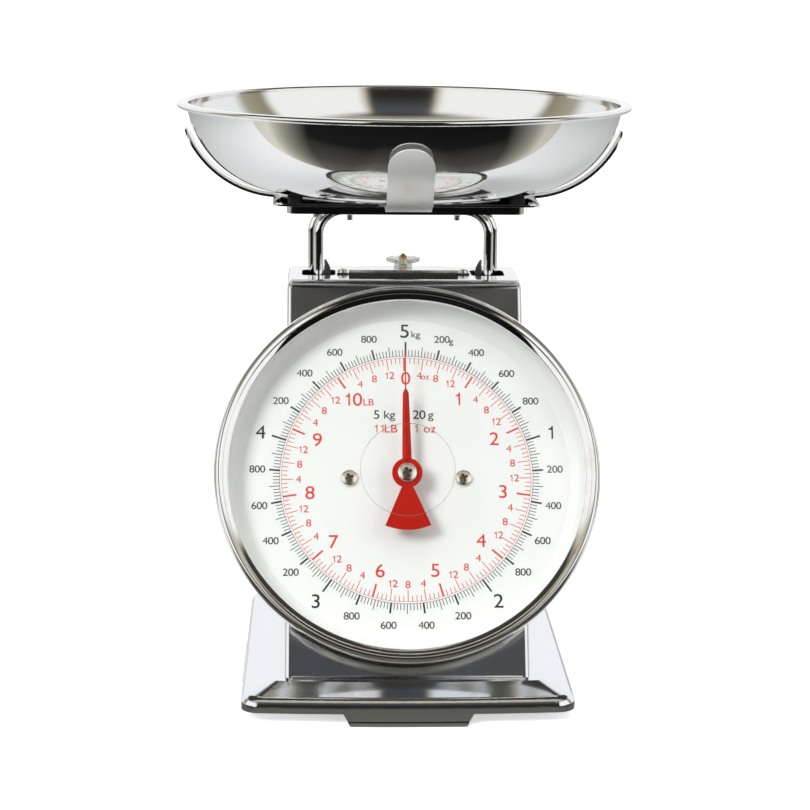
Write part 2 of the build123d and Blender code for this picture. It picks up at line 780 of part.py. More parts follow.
def upper_yoke():
    """Yoke under the housing top: window for the springs, and stiffening lugs up through the slots."""
    z = upper_yoke_z
    yoke = yoke_plate(z)
    window_x = 2 * (spring_offset + spring_radius + spring_wire + spring_window_gap)
    window_y = 2 * (spring_radius + spring_wire) + spring_window_gap
    yoke -= Pos(0, 0, z) * Box(window_x, window_y, 6 * yoke_thickness)
    near = front_rod_x - rod_radius - gusset_gap
    far = near - gusset_reach
    crown = top_z + gusset_height
    for sx in (-1, 1):
        foot = near - 2 * sheet
        brow = near - sheet
        belly = (near - 0.72 * gusset_reach, top_z + 0.62 * gusset_height)
        start = (sx * brow, crown)
        end = (sx * far, top_z + sheet)
        edges = ThreePointArc(start, (sx * belly[0], belly[1]), end)
        rest = [(far, top_z + sheet), (far, top_z - 4 * sheet), (foot, z - yoke_thickness / 2)]
        rest += [(near, z - yoke_thickness / 2), (near, crown), (brow, crown)]
        edges += Polyline(*[(sx * x, height) for x, height in rest])
        lug = make_face(edges)
        yoke += extrude(Plane.XZ * lug, yoke_thickness / 2, both=True)
    return yoke


def yoke_arm_x():
    """Inner face of the arm that carries the rack's link pin."""
    return rack_edges()[1] + link_gap


def lower_yoke():
    """Lower yoke: spring tabs, and an arm with a level slot for the rack's link pin."""
    z = lower_yoke_z
    yoke = yoke_plate(z)
    tab_hole = hook_z - spring_span
    tab_top = tab_hole + hook_tab_head
    for sx in (-1, 1):
        tab = Box(hook_tab, yoke_thickness, tab_top - z + yoke_thickness)
        tab = Pos(sx * spring_offset, 0, (tab_top + z - yoke_thickness) / 2) * tab
        hook_hole = Rot(90, 0, 0) * Cylinder(spring_wire, 4 * yoke_thickness)
        tab -= Pos(sx * spring_offset, 0, tab_hole) * hook_hole
        yoke += tab
    pin_y, pin_z = dial_point(rack_pin_up, rack_n)
    run = load_travel * tan(tilt)
    play = lever_slot_play
    wide = lever_pin_radius + play
    rear = pin_y + load_lift * tan(tilt) + wide + play
    front = pin_y - run - wide - play
    x = yoke_arm_x()
    depth = yoke_depth / 2
    lip = arm_lip
    points = [
        (front - lip, pin_z - wide - lip), (front - lip, pin_z + wide + lip),
        (rear + 3 * lip, pin_z + wide + lip),
        (3 * lip - depth, z + 3 * lip), (3 * lip - depth, z - yoke_thickness), (-depth, z - yoke_thickness),
        (rear, pin_z - wide - 3 * lip),
    ]
    arm = side_plate(points, x, x + yoke_thickness)
    slot = Pos(x, (front + rear) / 2, pin_z) * Box(4 * yoke_thickness, rear - front, 2 * wide)
    yoke += arm - slot
    return yoke


def bail(sy):
    """Chromed rod bent to an upside-down U, its top run welded under a strip of the platform."""
    low = lower_yoke_z - yoke_thickness - rod_tail
    x = front_rod_x if sy < 0 else rear_rod_x
    path = FilletPolyline((-x, 0, low), (-x, 0, rod_top_z), (x, 0, rod_top_z), (x, 0, low), radius=rod_bend)
    section = Pos(-x, 0, low) * Circle(rod_radius)
    rod = sweep(section, path)
    trim = Pos(0, 0, saddle_z + rod_radius) * Box(4 * x, 4 * rod_radius, 2 * rod_radius)
    return Pos(0, sy * rod_y, 0) * (rod - trim)


def platform():
    """Pressed tray under the cradle, its edge turned down, with a strip for each rod."""
    height = platform_flange
    tray = extrude(RectangleRounded(platform_width, platform_depth, platform_corner), -height)
    tray = fillet(tray.edges().group_by(Axis.Z)[-1], 1.5)
    inner_w = platform_width - 2 * platform_sheet
    inner_d = platform_depth - 2 * platform_sheet
    inside = RectangleRounded(inner_w, inner_d, platform_corner - platform_sheet)
    hollow = Pos(0, 0, -platform_sheet) * extrude(inside, -height)
    tray -= hollow
    for x, y in ((front_rod_x, -rod_y), (rear_rod_x, rod_y)):
        strip = Box(2 * (x - rod_bend), rod_diameter, saddle_height)
        tray += Pos(0, y, saddle_z - platform_z + saddle_height / 2) * strip
    for sx in (-1, 1):
        tray -= Pos(sx * cradle_screw_spread / 2, 0, 0) * Cylinder(screw_radius + screw_clearance, 9)
    return Pos(0, 0, platform_z) * tray


def bowl_flat():
    """Radius of the bowl's flat bottom."""
    wall = bowl_radius - bowl_rim_width
    rise = min(bowl_depth - bowl_rim_bead, bowl_corner)
    return wall - sqrt(bowl_corner ** 2 - (bowl_corner - rise) ** 2)


def bowl_cradle():
    """Flat plate with four arms that follow the bowl's side at a steady gap."""
    plate = extrude(RectangleRounded(cradle_width, cradle_depth, cradle_corner), cradle_sheet)
    flat = bowl_flat()
    inner = bowl_corner + pad_height
    outer = inner + cradle_sheet
    centre_z = cradle_sheet + inner
    end = radians(arm_rise)

    def along(radius, angle):
        return (flat + radius * sin(angle), centre_z - radius * cos(angle))

    root = cradle_depth / 2 - cradle_corner
    section = Polyline((root, cradle_sheet), (root, 0), (flat, 0))
    section += ThreePointArc((flat, 0), along(outer, end / 2), along(outer, end))
    section += Line(along(outer, end), along(inner, end))
    section += ThreePointArc(along(inner, end), along(inner, end / 2), (flat, cradle_sheet))
    section += Line((flat, cradle_sheet), (root, cradle_sheet))
    arm = extrude(Plane.XZ * make_face(section), arm_width / 2, both=True)
    tip = along((inner + outer) / 2, end)
    middle = Vector(tip[0], 0, tip[1])
    corners = [e for e in arm.edges() if abs((e.center() - middle).length - arm_width / 2) < touch]
    arm = fillet(corners, arm_width * 0.46)
    for turn in range(4):
        plate += Rot(0, 0, 90 * turn) * arm
    for sx in (-1, 1):
        plate -= Pos(sx * cradle_screw_spread / 2, 0, 0) * Cylinder(screw_radius + screw_clearance, 9)
    return Pos(0, 0, platform_z) * plate


def cradle_pads():
    """Four rubber pads under the bowl."""
    pads = []
    for sx in (-1, 1):
        for sy in (-1, 1):
            pad = extrude(RectangleRounded(pad_size, pad_size, pad_size / 5), pad_height)
            pads.append(Pos(sx * pad_spread_x / 2, sy * pad_spread_y / 2, cradle_z) * pad)
    return pads


def cradle_screws():
    """Two screws that clamp the cradle on the platform."""
    screws = []
    for sx in (-1, 1):
        screw = pan_screw(cradle_screw_length, screw_head_radius, screw_head_height, screw_radius)
        screws.append(Pos(sx * cradle_screw_spread / 2, 0, cradle_z) * screw)
    return screws


def cradle_nuts():
    """Nuts of the cradle screws, under the platform."""
    nuts = []
    for sx in (-1, 1):
        nut = hex_nut(nut_across, nut_height, screw_radius + touch)
        nuts.append(Pos(sx * cradle_screw_spread / 2, 0, platform_z - platform_sheet - nut_height) * nut)
    return nuts


def bowl():
    """Spun bowl with a flat bottom, turned-up side and rolled rim."""
    flat = bowl_flat()
    wall = bowl_radius - bowl_rim_width
    neck = bowl_depth - bowl_rim_bead
    rise = min(neck, bowl_corner)
    inner = bowl_corner - bowl_wall
    inner_wall = flat + sqrt(inner ** 2 - (bowl_corner - rise) ** 2)
    end = acos((bowl_corner - rise) / bowl_corner)
    inner_end = acos((bowl_corner - rise) / inner)
    bead = bowl_rim_bead / 2
    soft = bowl_rim_bead * 0.5

    def along(radius, angle):
        return (flat + radius * sin(angle), bowl_corner - radius * cos(angle))

    section = Line((0, 0), (flat, 0))
    section += ThreePointArc((flat, 0), along(bowl_corner, end / 2), (wall, rise))
    if neck > rise:
        section += Line((wall, rise), (wall, neck))
    section += Line((wall, neck), (bowl_radius - bead, neck))
    section += ThreePointArc(
        (bowl_radius - bead, neck), (bowl_radius, neck + bead), (bowl_radius - bead, bowl_depth)
    )
    section += Line((bowl_radius - bead, bowl_depth), (inner_wall + soft, bowl_depth))
    section += ThreePointArc(
        (inner_wall + soft, bowl_depth),
        (inner_wall + soft * (1 - sqrt(0.5)), bowl_depth - soft * (1 - sqrt(0.5))),
        (inner_wall, bowl_depth - soft),
    )
    section += Line((inner_wall, bowl_depth - soft), (inner_wall, rise))
    section += ThreePointArc((inner_wall, rise), along(inner, inner_end / 2), (flat, bowl_wall))
    section += Polyline((flat, bowl_wall), (0, bowl_wall), (0, 0))
    return Pos(0, 0, bowl_z) * turned(section)


def adjust_bracket():
    """Raised pressing on the housing top that bears the zero knob."""
    front = bracket_width / 2
    rear = bracket_rear_width / 2
    half = bracket_depth / 2

    def plan(inset):
        return make_face(
            Polyline(
                (-front + inset, bracket_y - half + inset), (front - inset, bracket_y - half + inset),
                (rear - inset, bracket_y + half - inset), (-rear + inset, bracket_y + half - inset),
                close=True,
            )
        )

    body = extrude(plan(0), bracket_height) - extrude(plan(sheet), bracket_height - sheet)
    for sx in (-1, 1):
        ear_mid = (bracket_width + bracket_ear) / 2
        ear = Box(2 * bracket_ear, bracket_ear_depth, sheet)
        ear = Pos(sx * (ear_mid - bracket_ear / 2), bracket_y, sheet / 2) * ear
        body += ear - extrude(plan(sheet), bracket_height)
        body -= Pos(sx * ear_mid, bracket_y, 0) * Cylinder(screw_radius + screw_clearance, 9)
    body -= Cylinder(stud_radius + 0.3, 9)
    return Pos(0, 0, top_z) * body


def bracket_screws():
    """Two screws of the adjuster bracket."""
    x = (bracket_width + bracket_ear) / 2
    screws = []
    for sx in (-1, 1):
        screw = pan_screw(2 * nut_height, screw_head_radius, screw_head_height, screw_radius)
        screws.append(Pos(sx * x, bracket_y, top_z + sheet) * screw)
    return screws


def knob_levels():
    """Bottom of the knob's hub, underside and top of its head."""
    low = bracket_top_z + running_fit
    return low, low + knob_hub_height, low + knob_hub_height + knob_height


def zero_knob():
    """Fluted thumb nut on the adjuster stud, with a narrow hub below."""
    low, under, high = knob_levels()
    knob = ring(knob_hub_radius, 0, low, under) + ring(knob_radius, 0, under, high)
    for i in range(knob_flutes):
        flute = Pos(knob_radius + flute_radius / 4, 0, (under + high) / 2)
        flute *= Cylinder(flute_radius, 2 * knob_height)
        knob -= Rot(0, 0, 360 * i / knob_flutes) * flute
    return knob - ring(stud_radius + running_fit, 0, low - 1, high + 1)


def adjust_stud():
    """Brass stud through the knob, with a pointed end."""
    high = knob_levels()[2] + stud_rise
    stud = ring(stud_radius, 0, hook_z - 1.5 * stud_radius, high)
    return chamfer(stud.edges().sort_by(Axis.Z)[-1], stud_radius * 0.7)


def spring_hanger():
    """Cross bar on the stud with a hole for the hook of each spring."""
    reach = spring_offset + spring_wire + hanger_margin
    bar = Pos(0, 0, hook_z) * Box(2 * reach, hanger_sheet, 2 * spring_wire + 1.75 * hanger_margin)
    for sx in (-1, 1):
        bar -= Pos(sx * spring_offset, 0, hook_z) * Rot(90, 0, 0) * Cylinder(spring_wire, 4 * yoke_thickness)
    bar += ring(2 * stud_radius, 0, hook_z - 2.5 * stud_radius, hook_z + 3 * stud_radius)
    bar -= ring(stud_radius + touch, 0, hook_z - 1.5 * stud_radius, top_z)
    return bar


def main_spring(sx):
    """Tension spring: closed coil as one sleeve, an end cap and a hook ring at each end."""
    wire = spring_wire / 2
    cap = 1.3 * spring_wire
    top_ring = hook_z - spring_ring
    low_ring = hook_z - spring_span + spring_ring
    high = top_ring - spring_ring + cap / 2
    low = low_ring + spring_ring - cap / 2
    spring = ring(spring_radius + wire, 0, low, high)
    spring -= ring(spring_radius - wire, 0, low + cap, high - cap)
    for ring_z in (top_ring, low_ring):
        spring += Pos(0, 0, ring_z) * Rot(0, 90, 0) * Torus(spring_ring, wire)
    return Pos(sx * spring_offset, 0, 0) * spring


def all_pieces():
    """Every piece of the scale by name."""
    return {
        "bowl": bowl(),
        "bowl_cradle": bowl_cradle(),
        "cradle_pads": cradle_pads(),
        "cradle_screws": cradle_screws(),
        "cradle_nuts": cradle_nuts(),
        "platform": platform(),
        "front_bail": bail(-1),
        "rear_bail": bail(1),
        "upper_yoke": upper_yoke(),
        "lower_yoke": lower_yoke(),
        "upper_yoke_pin": yoke_pin(0),
        "lower_yoke_pin": yoke_pin(1),
        "housing_shell": housing_shell(),
        "rear_cover": rear_cover(),
        "rear_cover_screws": rear_cover_screws(),
        "base_pan": base_pan(),
        "base_screws": base_screws(),
        "dial_drum": dial_drum(),
        "dial_plate": dial_plate(),
        "dial_spacers": dial_spacers(),
        "dial_screws": dial_screws(),
        "lens": lens(),
        "bezel": bezel(),
        "front_bush": front_bush(),
        "rear_bush": rear_bush(),
        "movement_plate": movement_plate(),
        "rack_guide": rack_guide(),
        "left_side_plate": side_plates(-1),
        "right_side_plate": side_plates(1),
        "upper_pivot_pin": pivot_pin(0),
        "lower_pivot_pin": pivot_pin(1),
        "upper_guide_lever": guide_lever(0),
        "lower_guide_lever": guide_lever(1),
        "rack": rack(),
        "pinion": pinion(),
        "pointer_shaft": pointer_shaft(),
        "pointer": pointer(),
        "pointer_screw": pointer_screw(),
        "adjust_bracket": adjust_bracket(),
        "bracket_screws": bracket_screws(),
        "zero_knob": zero_knob(),
        "adjust_stud": adjust_stud(),
        "spring_hanger": spring_hanger(),
        "left_spring": main_spring(-1),
        "right_spring": main_spring(1),
    }


os.makedirs("parts", exist_ok=True)
for name, shape in all_pieces().items():
    solids = shape if isinstance(shape, list) else [shape]
    placed = [Pos(0, axis_y, 0) * solid for solid in solids]
    whole = placed[0] if len(placed) == 1 else Compound(children=placed)
    export_step(whole, f"parts/{name}.step")
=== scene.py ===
import json
from math import atan2, cos, pi, radians, sin, sqrt

import bmesh
import bpy
from mathutils import Matrix, Vector


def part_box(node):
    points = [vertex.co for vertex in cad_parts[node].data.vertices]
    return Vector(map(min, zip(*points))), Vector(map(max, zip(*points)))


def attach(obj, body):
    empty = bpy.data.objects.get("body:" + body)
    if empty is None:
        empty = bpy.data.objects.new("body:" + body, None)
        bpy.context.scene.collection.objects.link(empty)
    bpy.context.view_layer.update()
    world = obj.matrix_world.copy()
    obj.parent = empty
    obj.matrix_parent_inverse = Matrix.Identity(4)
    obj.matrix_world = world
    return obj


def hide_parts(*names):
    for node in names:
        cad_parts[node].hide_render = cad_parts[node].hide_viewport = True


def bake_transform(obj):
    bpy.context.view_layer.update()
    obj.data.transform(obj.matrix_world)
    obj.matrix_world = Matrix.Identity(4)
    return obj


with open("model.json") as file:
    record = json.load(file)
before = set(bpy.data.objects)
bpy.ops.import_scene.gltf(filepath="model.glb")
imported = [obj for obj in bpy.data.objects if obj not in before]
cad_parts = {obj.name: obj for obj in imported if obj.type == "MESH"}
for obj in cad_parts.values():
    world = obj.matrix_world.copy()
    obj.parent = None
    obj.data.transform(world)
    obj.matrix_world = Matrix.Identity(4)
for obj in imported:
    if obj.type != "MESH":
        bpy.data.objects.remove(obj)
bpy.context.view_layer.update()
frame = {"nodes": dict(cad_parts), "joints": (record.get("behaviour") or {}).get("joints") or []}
nodes = frame["nodes"]

# Base pan: one steel pressing with a sloped border, standing on four turned-out tongues.
# It is polished and chrome plated, and the sheet keeps a slight ripple from the press.
def feed(tree, source, socket):
    """Wires an input to an output, or sets it to a constant."""
    if isinstance(source, bpy.types.NodeSocket):
        tree.links.new(source, socket)
    else:
        socket.default_value = source


def noise(tree, scale, detail=2.0, place=None):
    """Uneven values over a surface."""
    made = tree.nodes.new("ShaderNodeTexNoise")
    made.inputs["Scale"].default_value = scale
    made.inputs["Detail"].default_value = detail
    if place is not None:
        feed(tree, place, made.inputs["Vector"])
    return made.outputs["Fac"]


def maths(tree, operation, *sources):
    """A value worked out from outputs and constants."""
    made = tree.nodes.new("ShaderNodeMath")
    made.operation = operation
    for socket, source in zip(made.inputs, sources):
        feed(tree, source, socket)
    return made.outputs[0]


def spread(tree, source, start, end, low=0.0, high=1.0, shape="LINEAR"):
    """A value carried from the range start to end over to the range low to high."""
    made = tree.nodes.new("ShaderNodeMapRange")
    made.interpolation_type = shape
    for label, value in (("From Min", start), ("From Max", end), ("To Min", low), ("To Max", high)):
        made.inputs[label].default_value = value
    feed(tree, source, made.inputs["Value"])
    return made.outputs["Result"]


polish = bpy.data.node_groups.new("polish_marks", "ShaderNodeTree")
for label, value in (("Gloss", 0.05), ("Haze", 0.04), ("Hairlines", 0.002), ("Ripple", 0.05)):
    socket = polish.interface.new_socket(label, in_out="INPUT", socket_type="NodeSocketFloat")
    socket.default_value = value
for label in ("Roughness", "Height", "Wipe"):
    polish.interface.new_socket(label, in_out="OUTPUT", socket_type="NodeSocketFloat")
given = polish.nodes.new("NodeGroupInput")
result = polish.nodes.new("NodeGroupOutput")
place = polish.nodes.new("ShaderNodeTexCoord").outputs["Object"]
upright = polish.nodes.new("ShaderNodeMapping")
upright.inputs["Scale"].default_value = (1500.0, 1500.0, 40.0)
feed(polish, place, upright.inputs["Vector"])
aslant = polish.nodes.new("ShaderNodeMapping")
aslant.inputs["Rotation"].default_value = (0.5, 0.6, 0.9)
aslant.inputs["Scale"].default_value = (60.0, 14.0, 60.0)
feed(polish, place, aslant.inputs["Vector"])
smears = noise(polish, 26.0, 5.0, place)
swell = noise(polish, 11.0, 1.0, place)
lines = noise(polish, 1.0, 2.0, upright.outputs["Vector"])
strokes = noise(polish, 1.0, 4.0, aslant.outputs["Vector"])
dulled = maths(polish, "MULTIPLY_ADD", smears, given.outputs["Haze"], given.outputs["Gloss"])
scored = maths(polish, "MULTIPLY", lines, given.outputs["Hairlines"])
height = maths(polish, "MULTIPLY_ADD", swell, given.outputs["Ripple"], scored)
feed(polish, dulled, result.inputs["Roughness"])
feed(polish, height, result.inputs["Height"])
feed(polish, spread(polish, strokes, 0.58, 0.72), result.inputs["Wipe"])


def finish(name):
    """A new material, its node tree and its shader."""
    made = bpy.data.materials.new(name)
    made.use_nodes = True
    return made, made.node_tree, made.node_tree.nodes["Principled BSDF"]


def mixed(tree, factor, first, second, way="MIX"):
    """Two colours mixed by a factor."""
    made = tree.nodes.new("ShaderNodeMix")
    made.data_type = "RGBA"
    made.blend_type = way
    for label, source in (("Factor", factor), ("A", first), ("B", second)):
        feed(tree, source, made.inputs[label])
    return made.outputs["Result"]


def bumped(tree, height, distance, strength=1.0):
    """Small unevenness of a surface, as its normal."""
    made = tree.nodes.new("ShaderNodeBump")
    made.inputs["Distance"].default_value = distance
    made.inputs["Strength"].default_value = strength
    feed(tree, height, made.inputs["Height"])
    return made.outputs["Normal"]


def polished(name, colour, gloss, haze, hairlines=0.0, ripple=0.0, wiped=0.94):
    """Bare or plated metal with the marks of polishing, a little yellower where it was wiped."""
    made, tree, shader = finish(name)
    shader.inputs["Metallic"].default_value = 1.0
    marks = tree.nodes.new("ShaderNodeGroup")
    marks.node_tree = polish
    for label, value in (("Gloss", gloss), ("Haze", haze), ("Hairlines", hairlines), ("Ripple", ripple)):
        marks.inputs[label].default_value = value
    yellower = [part * wiped ** power for power, part in enumerate(colour, 1)]
    shade = mixed(tree, marks.outputs["Wipe"], (*colour, 1.0), (*yellower, 1.0))
    feed(tree, shade, shader.inputs["Base Color"])
    feed(tree, marks.outputs["Roughness"], shader.inputs["Roughness"])
    feed(tree, bumped(tree, marks.outputs["Height"], 0.001), shader.inputs["Normal"])
    return made


def dress(material, *names):
    """Puts a finish on CAD nodes."""
    for name in names:
        nodes[name].data.materials.clear()
        nodes[name].data.materials.append(material)


base_chrome = polished(
    "base_chrome", (0.83, 0.85, 0.89), gloss=0.05, haze=0.08, hairlines=0.0006, ripple=0.06,
)
dress(base_chrome, "base_pan")

# Housing: a wedge folded from one sheet and chromed, with slots in its top for the rods.
# Wiping has left fine upright hairlines on its front, and a thin hem closes the sheet at its foot.
def link(name, mesh, materials):
    """An object for a finished mesh, with its finishes."""
    piece = bpy.data.objects.new(name, mesh)
    for material in materials:
        mesh.materials.append(material)
    bpy.context.scene.collection.objects.link(piece)
    return piece


def bead(name, start, end, radius, material):
    """A thin straight bead with rounded ends."""
    work = bmesh.new()
    way = end - start
    bmesh.ops.create_uvsphere(work, u_segments=16, v_segments=12, radius=radius)
    for vert in work.verts:
        vert.co.z += way.length / 2 if vert.co.z > 1e-9 else -way.length / 2
    for face in work.faces:
        face.smooth = True
    mesh = bpy.data.meshes.new(name)
    work.to_mesh(mesh)
    work.free()
    mesh.transform(Matrix.Translation((start + end) / 2) @ way.to_track_quat("Z", "Y").to_matrix().to_4x4())
    return link(name, mesh, [material])


housing_chrome = polished(
    "housing_chrome", (0.83, 0.84, 0.86), gloss=0.03, haze=0.20, hairlines=0.0020, ripple=0.06, wiped=0.975,
)
dress(housing_chrome, "housing_shell")
low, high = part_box("housing_shell")
hem_radius = 0.0005
hem_inset = 0.004
hem_start = Vector((low.x + hem_inset, low.y, low.z + hem_radius))
hem_end = Vector((high.x - hem_inset, low.y, low.z + hem_radius))
hem = bead("housing_hem", hem_start, hem_end, hem_radius, housing_chrome)
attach(hem, "stand")

# Rear cover: a flat zinc-bright sheet held by four pan-head screws.
# The screws of the base and the cradle, with the cradle's nuts, are of the same steel.
cover_steel = polished(
    "cover_steel", (0.62, 0.62, 0.61), gloss=0.22, haze=0.12, hairlines=0.003, ripple=0.03, wiped=0.985,
)
screw_steel = polished("screw_steel", (0.66, 0.65, 0.62), gloss=0.18, haze=0.12)
dress(cover_steel, "rear_cover")
dress(screw_steel, "rear_cover_screws", "base_screws", "cradle_screws", "cradle_nuts")

# Chassis, levers and movement inside the housing: dull plated sheet, drawn wire and turned brass.
# Pins and bushes are pressed in, and the two springs hang from the hanger's hook holes.
# Each spring is in two halves, which stretch from its middle to the hanger and to the load carrier.
def softened(name, node, width, materials):
    """A closed copy of a CAD node, its sharp edges rubbed round to that width."""
    weld = 2e-6
    sharp_edge, sharp_shade = radians(50), radians(38)
    mesh = nodes[node].data.copy()
    mesh.transform(nodes[node].matrix_world)
    mesh.materials.clear()
    work = bmesh.new()
    work.from_mesh(mesh)
    bmesh.ops.remove_doubles(work, verts=work.verts[:], dist=weld)
    bmesh.ops.recalc_face_normals(work, faces=work.faces[:])
    if width:
        sharp = [edge for edge in work.edges if edge.is_manifold and edge.calc_face_angle() > sharp_edge]
        bmesh.ops.bevel(
            work, geom=sharp, offset=width, segments=3, affect="EDGES", profile=0.5, clamp_overlap=True,
        )
    for face in work.faces:
        face.smooth = True
    bpy.data.meshes.remove(mesh)
    mesh = bpy.data.meshes.new(name)
    work.to_mesh(mesh)
    work.free()
    mesh.set_sharp_from_angle(angle=sharp_shade)
    return link(name, mesh, materials)


plated_sheet = polished(
    "plated_sheet", (0.50, 0.50, 0.48), gloss=0.30, haze=0.15, hairlines=0.002, ripple=0.02,
)
spring_wire = polished("spring_wire", (0.42, 0.42, 0.43), gloss=0.20, haze=0.10)
movement_brass = polished("movement_brass", (0.72, 0.50, 0.20), gloss=0.20, haze=0.14)
dress(
    plated_sheet,
    "left_side_plate", "right_side_plate", "movement_plate", "upper_guide_lever", "lower_guide_lever",
    "upper_pivot_pin", "lower_pivot_pin", "upper_yoke_pin", "lower_yoke_pin", "lower_yoke", "upper_yoke",
    "spring_hanger", "rack_guide", "pointer_shaft", "dial_spacers",
)
dress(movement_brass, "rack", "pinion", "front_bush", "rear_bush")
hook = 0.009
for side in ("left", "right"):
    low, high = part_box(side + "_spring")
    middle = (low + high) / 2
    for half, body, tip in (("upper", "hanger", high.z - hook), ("lower", "load", low.z + hook)):
        coil = softened(f"{side}_coil_{half}", side + "_spring", 0.0, [spring_wire])
        work = bmesh.new()
        work.from_mesh(coil.data)
        bmesh.ops.bisect_plane(
            work, geom=work.verts[:] + work.edges[:] + work.faces[:], plane_co=middle, plane_no=(0, 0, 1),
            clear_inner=half == "upper", clear_outer=half == "lower",
        )
        bmesh.ops.holes_fill(work, edges=[edge for edge in work.edges if edge.is_boundary], sides=0)
        work.to_mesh(coil.data)
        work.free()
        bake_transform(coil)
        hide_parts(side + "_spring")

# Rods: two bails of bright drawn rod, bent, chromed and welded under the platform.
# Their legs go down through the housing's slots and are fixed in the two yokes inside.
rod_chrome = polished("rod_chrome", (0.86, 0.86, 0.855), gloss=0.04, haze=0.04)
dress(rod_chrome, "front_bail", "rear_bail")

# Platform: a small tray pressed from sheet with its edge turned down, then chromed.
# It carries the cradle, which is screwed on from above.
tray_chrome = polished("tray_chrome", (0.80, 0.79, 0.77), gloss=0.05, haze=0.06, ripple=0.05)
dress(tray_chrome, "platform")

# Cradle: a polished steel plate whose four arms are bent up to follow the bowl, its edges rubbed round.
# The front and rear arms are left satin, and four rubber pads keep the bowl from rattling.
cradle_satin = polished(
    "cradle_satin", (0.90, 0.91, 0.90), gloss=0.06, haze=0.06, hairlines=0.0010, wiped=0.985,
)
tree = cradle_satin.node_tree
shader = tree.nodes["Principled BSDF"]
marks = next(node for node in tree.nodes if node.type == "GROUP")
shade = next(node for node in tree.nodes if node.type == "MIX")
low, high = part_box("bowl_cradle")
arm_half, arm_start, arm_fade = 0.0130, 0.0450, 0.0020
spot = tree.nodes.new("ShaderNodeTexCoord")
split = tree.nodes.new("ShaderNodeSeparateXYZ")
feed(tree, spot.outputs["Object"], split.inputs["Vector"])
aside = maths(tree, "ABSOLUTE", split.outputs["X"])
along = maths(tree, "ABSOLUTE", maths(tree, "SUBTRACT", split.outputs["Y"], (low.y + high.y) / 2))
strip = spread(tree, aside, arm_half + arm_fade / 2, arm_half)
beyond = spread(tree, along, arm_start, arm_start + arm_fade)
arm = maths(tree, "MULTIPLY", strip, beyond)
bare = mixed(tree, arm, shade.outputs["Result"], (0.95, 0.97, 0.95, 1.0))
feed(tree, bare, shader.inputs["Base Color"])
feed(tree, spread(tree, arm, 0.0, 1.0, 1.0, 0.35), shader.inputs["Metallic"])
feed(tree, maths(tree, "MULTIPLY_ADD", arm, 0.20, marks.outputs["Roughness"]), shader.inputs["Roughness"])
edge_round = 0.0004
cradle = softened("cradle_spider", "bowl_cradle", edge_round, [cradle_satin])
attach(cradle, "load")
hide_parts("bowl_cradle")
pad_rubber, tree, shader = finish("pad_rubber")
shader.inputs["Base Color"].default_value = (0.03, 0.03, 0.03, 1.0)
feed(tree, spread(tree, noise(tree, 900.0), 0.0, 1.0, 0.55, 0.85), shader.inputs["Roughness"])
dress(pad_rubber, "cradle_pads")

# Bowl: spun stainless steel, mirror bright outside and finely brushed inside.
# The rim is rolled over, and the bowl rests on the pads without any fixing.
def turn(name, outline, steps, place, materials, bands=None, closed=False):
    """A piece turned round its axis from an outline of (radius, height) points."""
    on_axis, sharp_shade = 1e-7, radians(40)
    work = bmesh.new()
    rings = []
    for radius, height in outline:
        count = steps if radius > on_axis else 1
        rings.append([
            work.verts.new((radius * cos(2 * pi * i / steps), radius * sin(2 * pi * i / steps), height))
            for i in range(count)
        ])
    follow = rings[1:] + (rings[:1] if closed else [])
    for band, (lower, upper) in enumerate(zip(rings, follow)):
        for i in range(steps):
            j = (i + 1) % steps
            corners = [lower[i % len(lower)], lower[j % len(lower)]]
            corners += [upper[j % len(upper)], upper[i % len(upper)]]
            corners = list(dict.fromkeys(corners))
            if len(corners) > 2:
                face = work.faces.new(corners)
                face.smooth = True
                face.material_index = bands[band] if bands else 0
    bmesh.ops.recalc_face_normals(work, faces=work.faces[:])
    mesh = bpy.data.meshes.new(name)
    work.to_mesh(mesh)
    work.free()
    mesh.transform(place)
    mesh.set_sharp_from_angle(angle=sharp_shade)
    return link(name, mesh, materials)


def arc(centre, radius, start, end, count):
    """Points of an arc of an outline, angles in degrees from the outward direction."""
    angles = [radians(start + (end - start) * i / count) for i in range(count + 1)]
    return [(centre[0] + radius * cos(a), centre[1] + radius * sin(a)) for a in angles]


low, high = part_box("bowl")
bowl_axis = Vector(((low.x + high.x) / 2, (low.y + high.y) / 2, low.z))
bowl_radius = (high.x - low.x) / 2
bowl_depth = high.z - low.z
bowl_corner = 0.048
bowl_wall = 0.0008
bowl_flat = 0.0625
rim_bead = 0.0015
wall_end = -8.4
outside = [(0.0, 0.0), (bowl_flat * 0.5, 0.0)] + arc((bowl_flat, bowl_corner), bowl_corner, -90, wall_end, 40)
rim = arc((bowl_radius - rim_bead, bowl_depth - rim_bead), rim_bead, -90, 90, 14)
inside_edge = outside[-1][0] - bowl_wall
lip = arc((inside_edge + rim_bead, bowl_depth - rim_bead), rim_bead, 90, 180, 8)
hollow = arc((bowl_flat, bowl_corner), bowl_corner - bowl_wall, wall_end, -90, 40)
hollow += [(bowl_flat * 0.5, bowl_wall), (0.0, bowl_wall)]
outline = outside + rim + lip + hollow
bands = [0] * (len(outside) + len(rim)) + [1] * (len(lip) + len(hollow))
bowl_mirror = polished("bowl_mirror", (0.83, 0.83, 0.825), gloss=0.03, haze=0.04, ripple=0.03, wiped=0.985)
bowl_brushed = polished("bowl_brushed", (0.81, 0.81, 0.80), gloss=0.07, haze=0.05, wiped=0.985)
bowl = turn("steel_bowl", outline, 256, Matrix.Translation(bowl_axis), [bowl_mirror, bowl_brushed], bands)
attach(bowl, "bowl")
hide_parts("bowl")

# Drum: a steel cup on the inclined front that holds the dial, the lens and the bezel.
# It is pressed from sheet and left with a half-bright plated skin.
drum_steel = polished("drum_steel", (0.70, 0.70, 0.69), gloss=0.15, haze=0.10)
dress(drum_steel, "dial_drum")

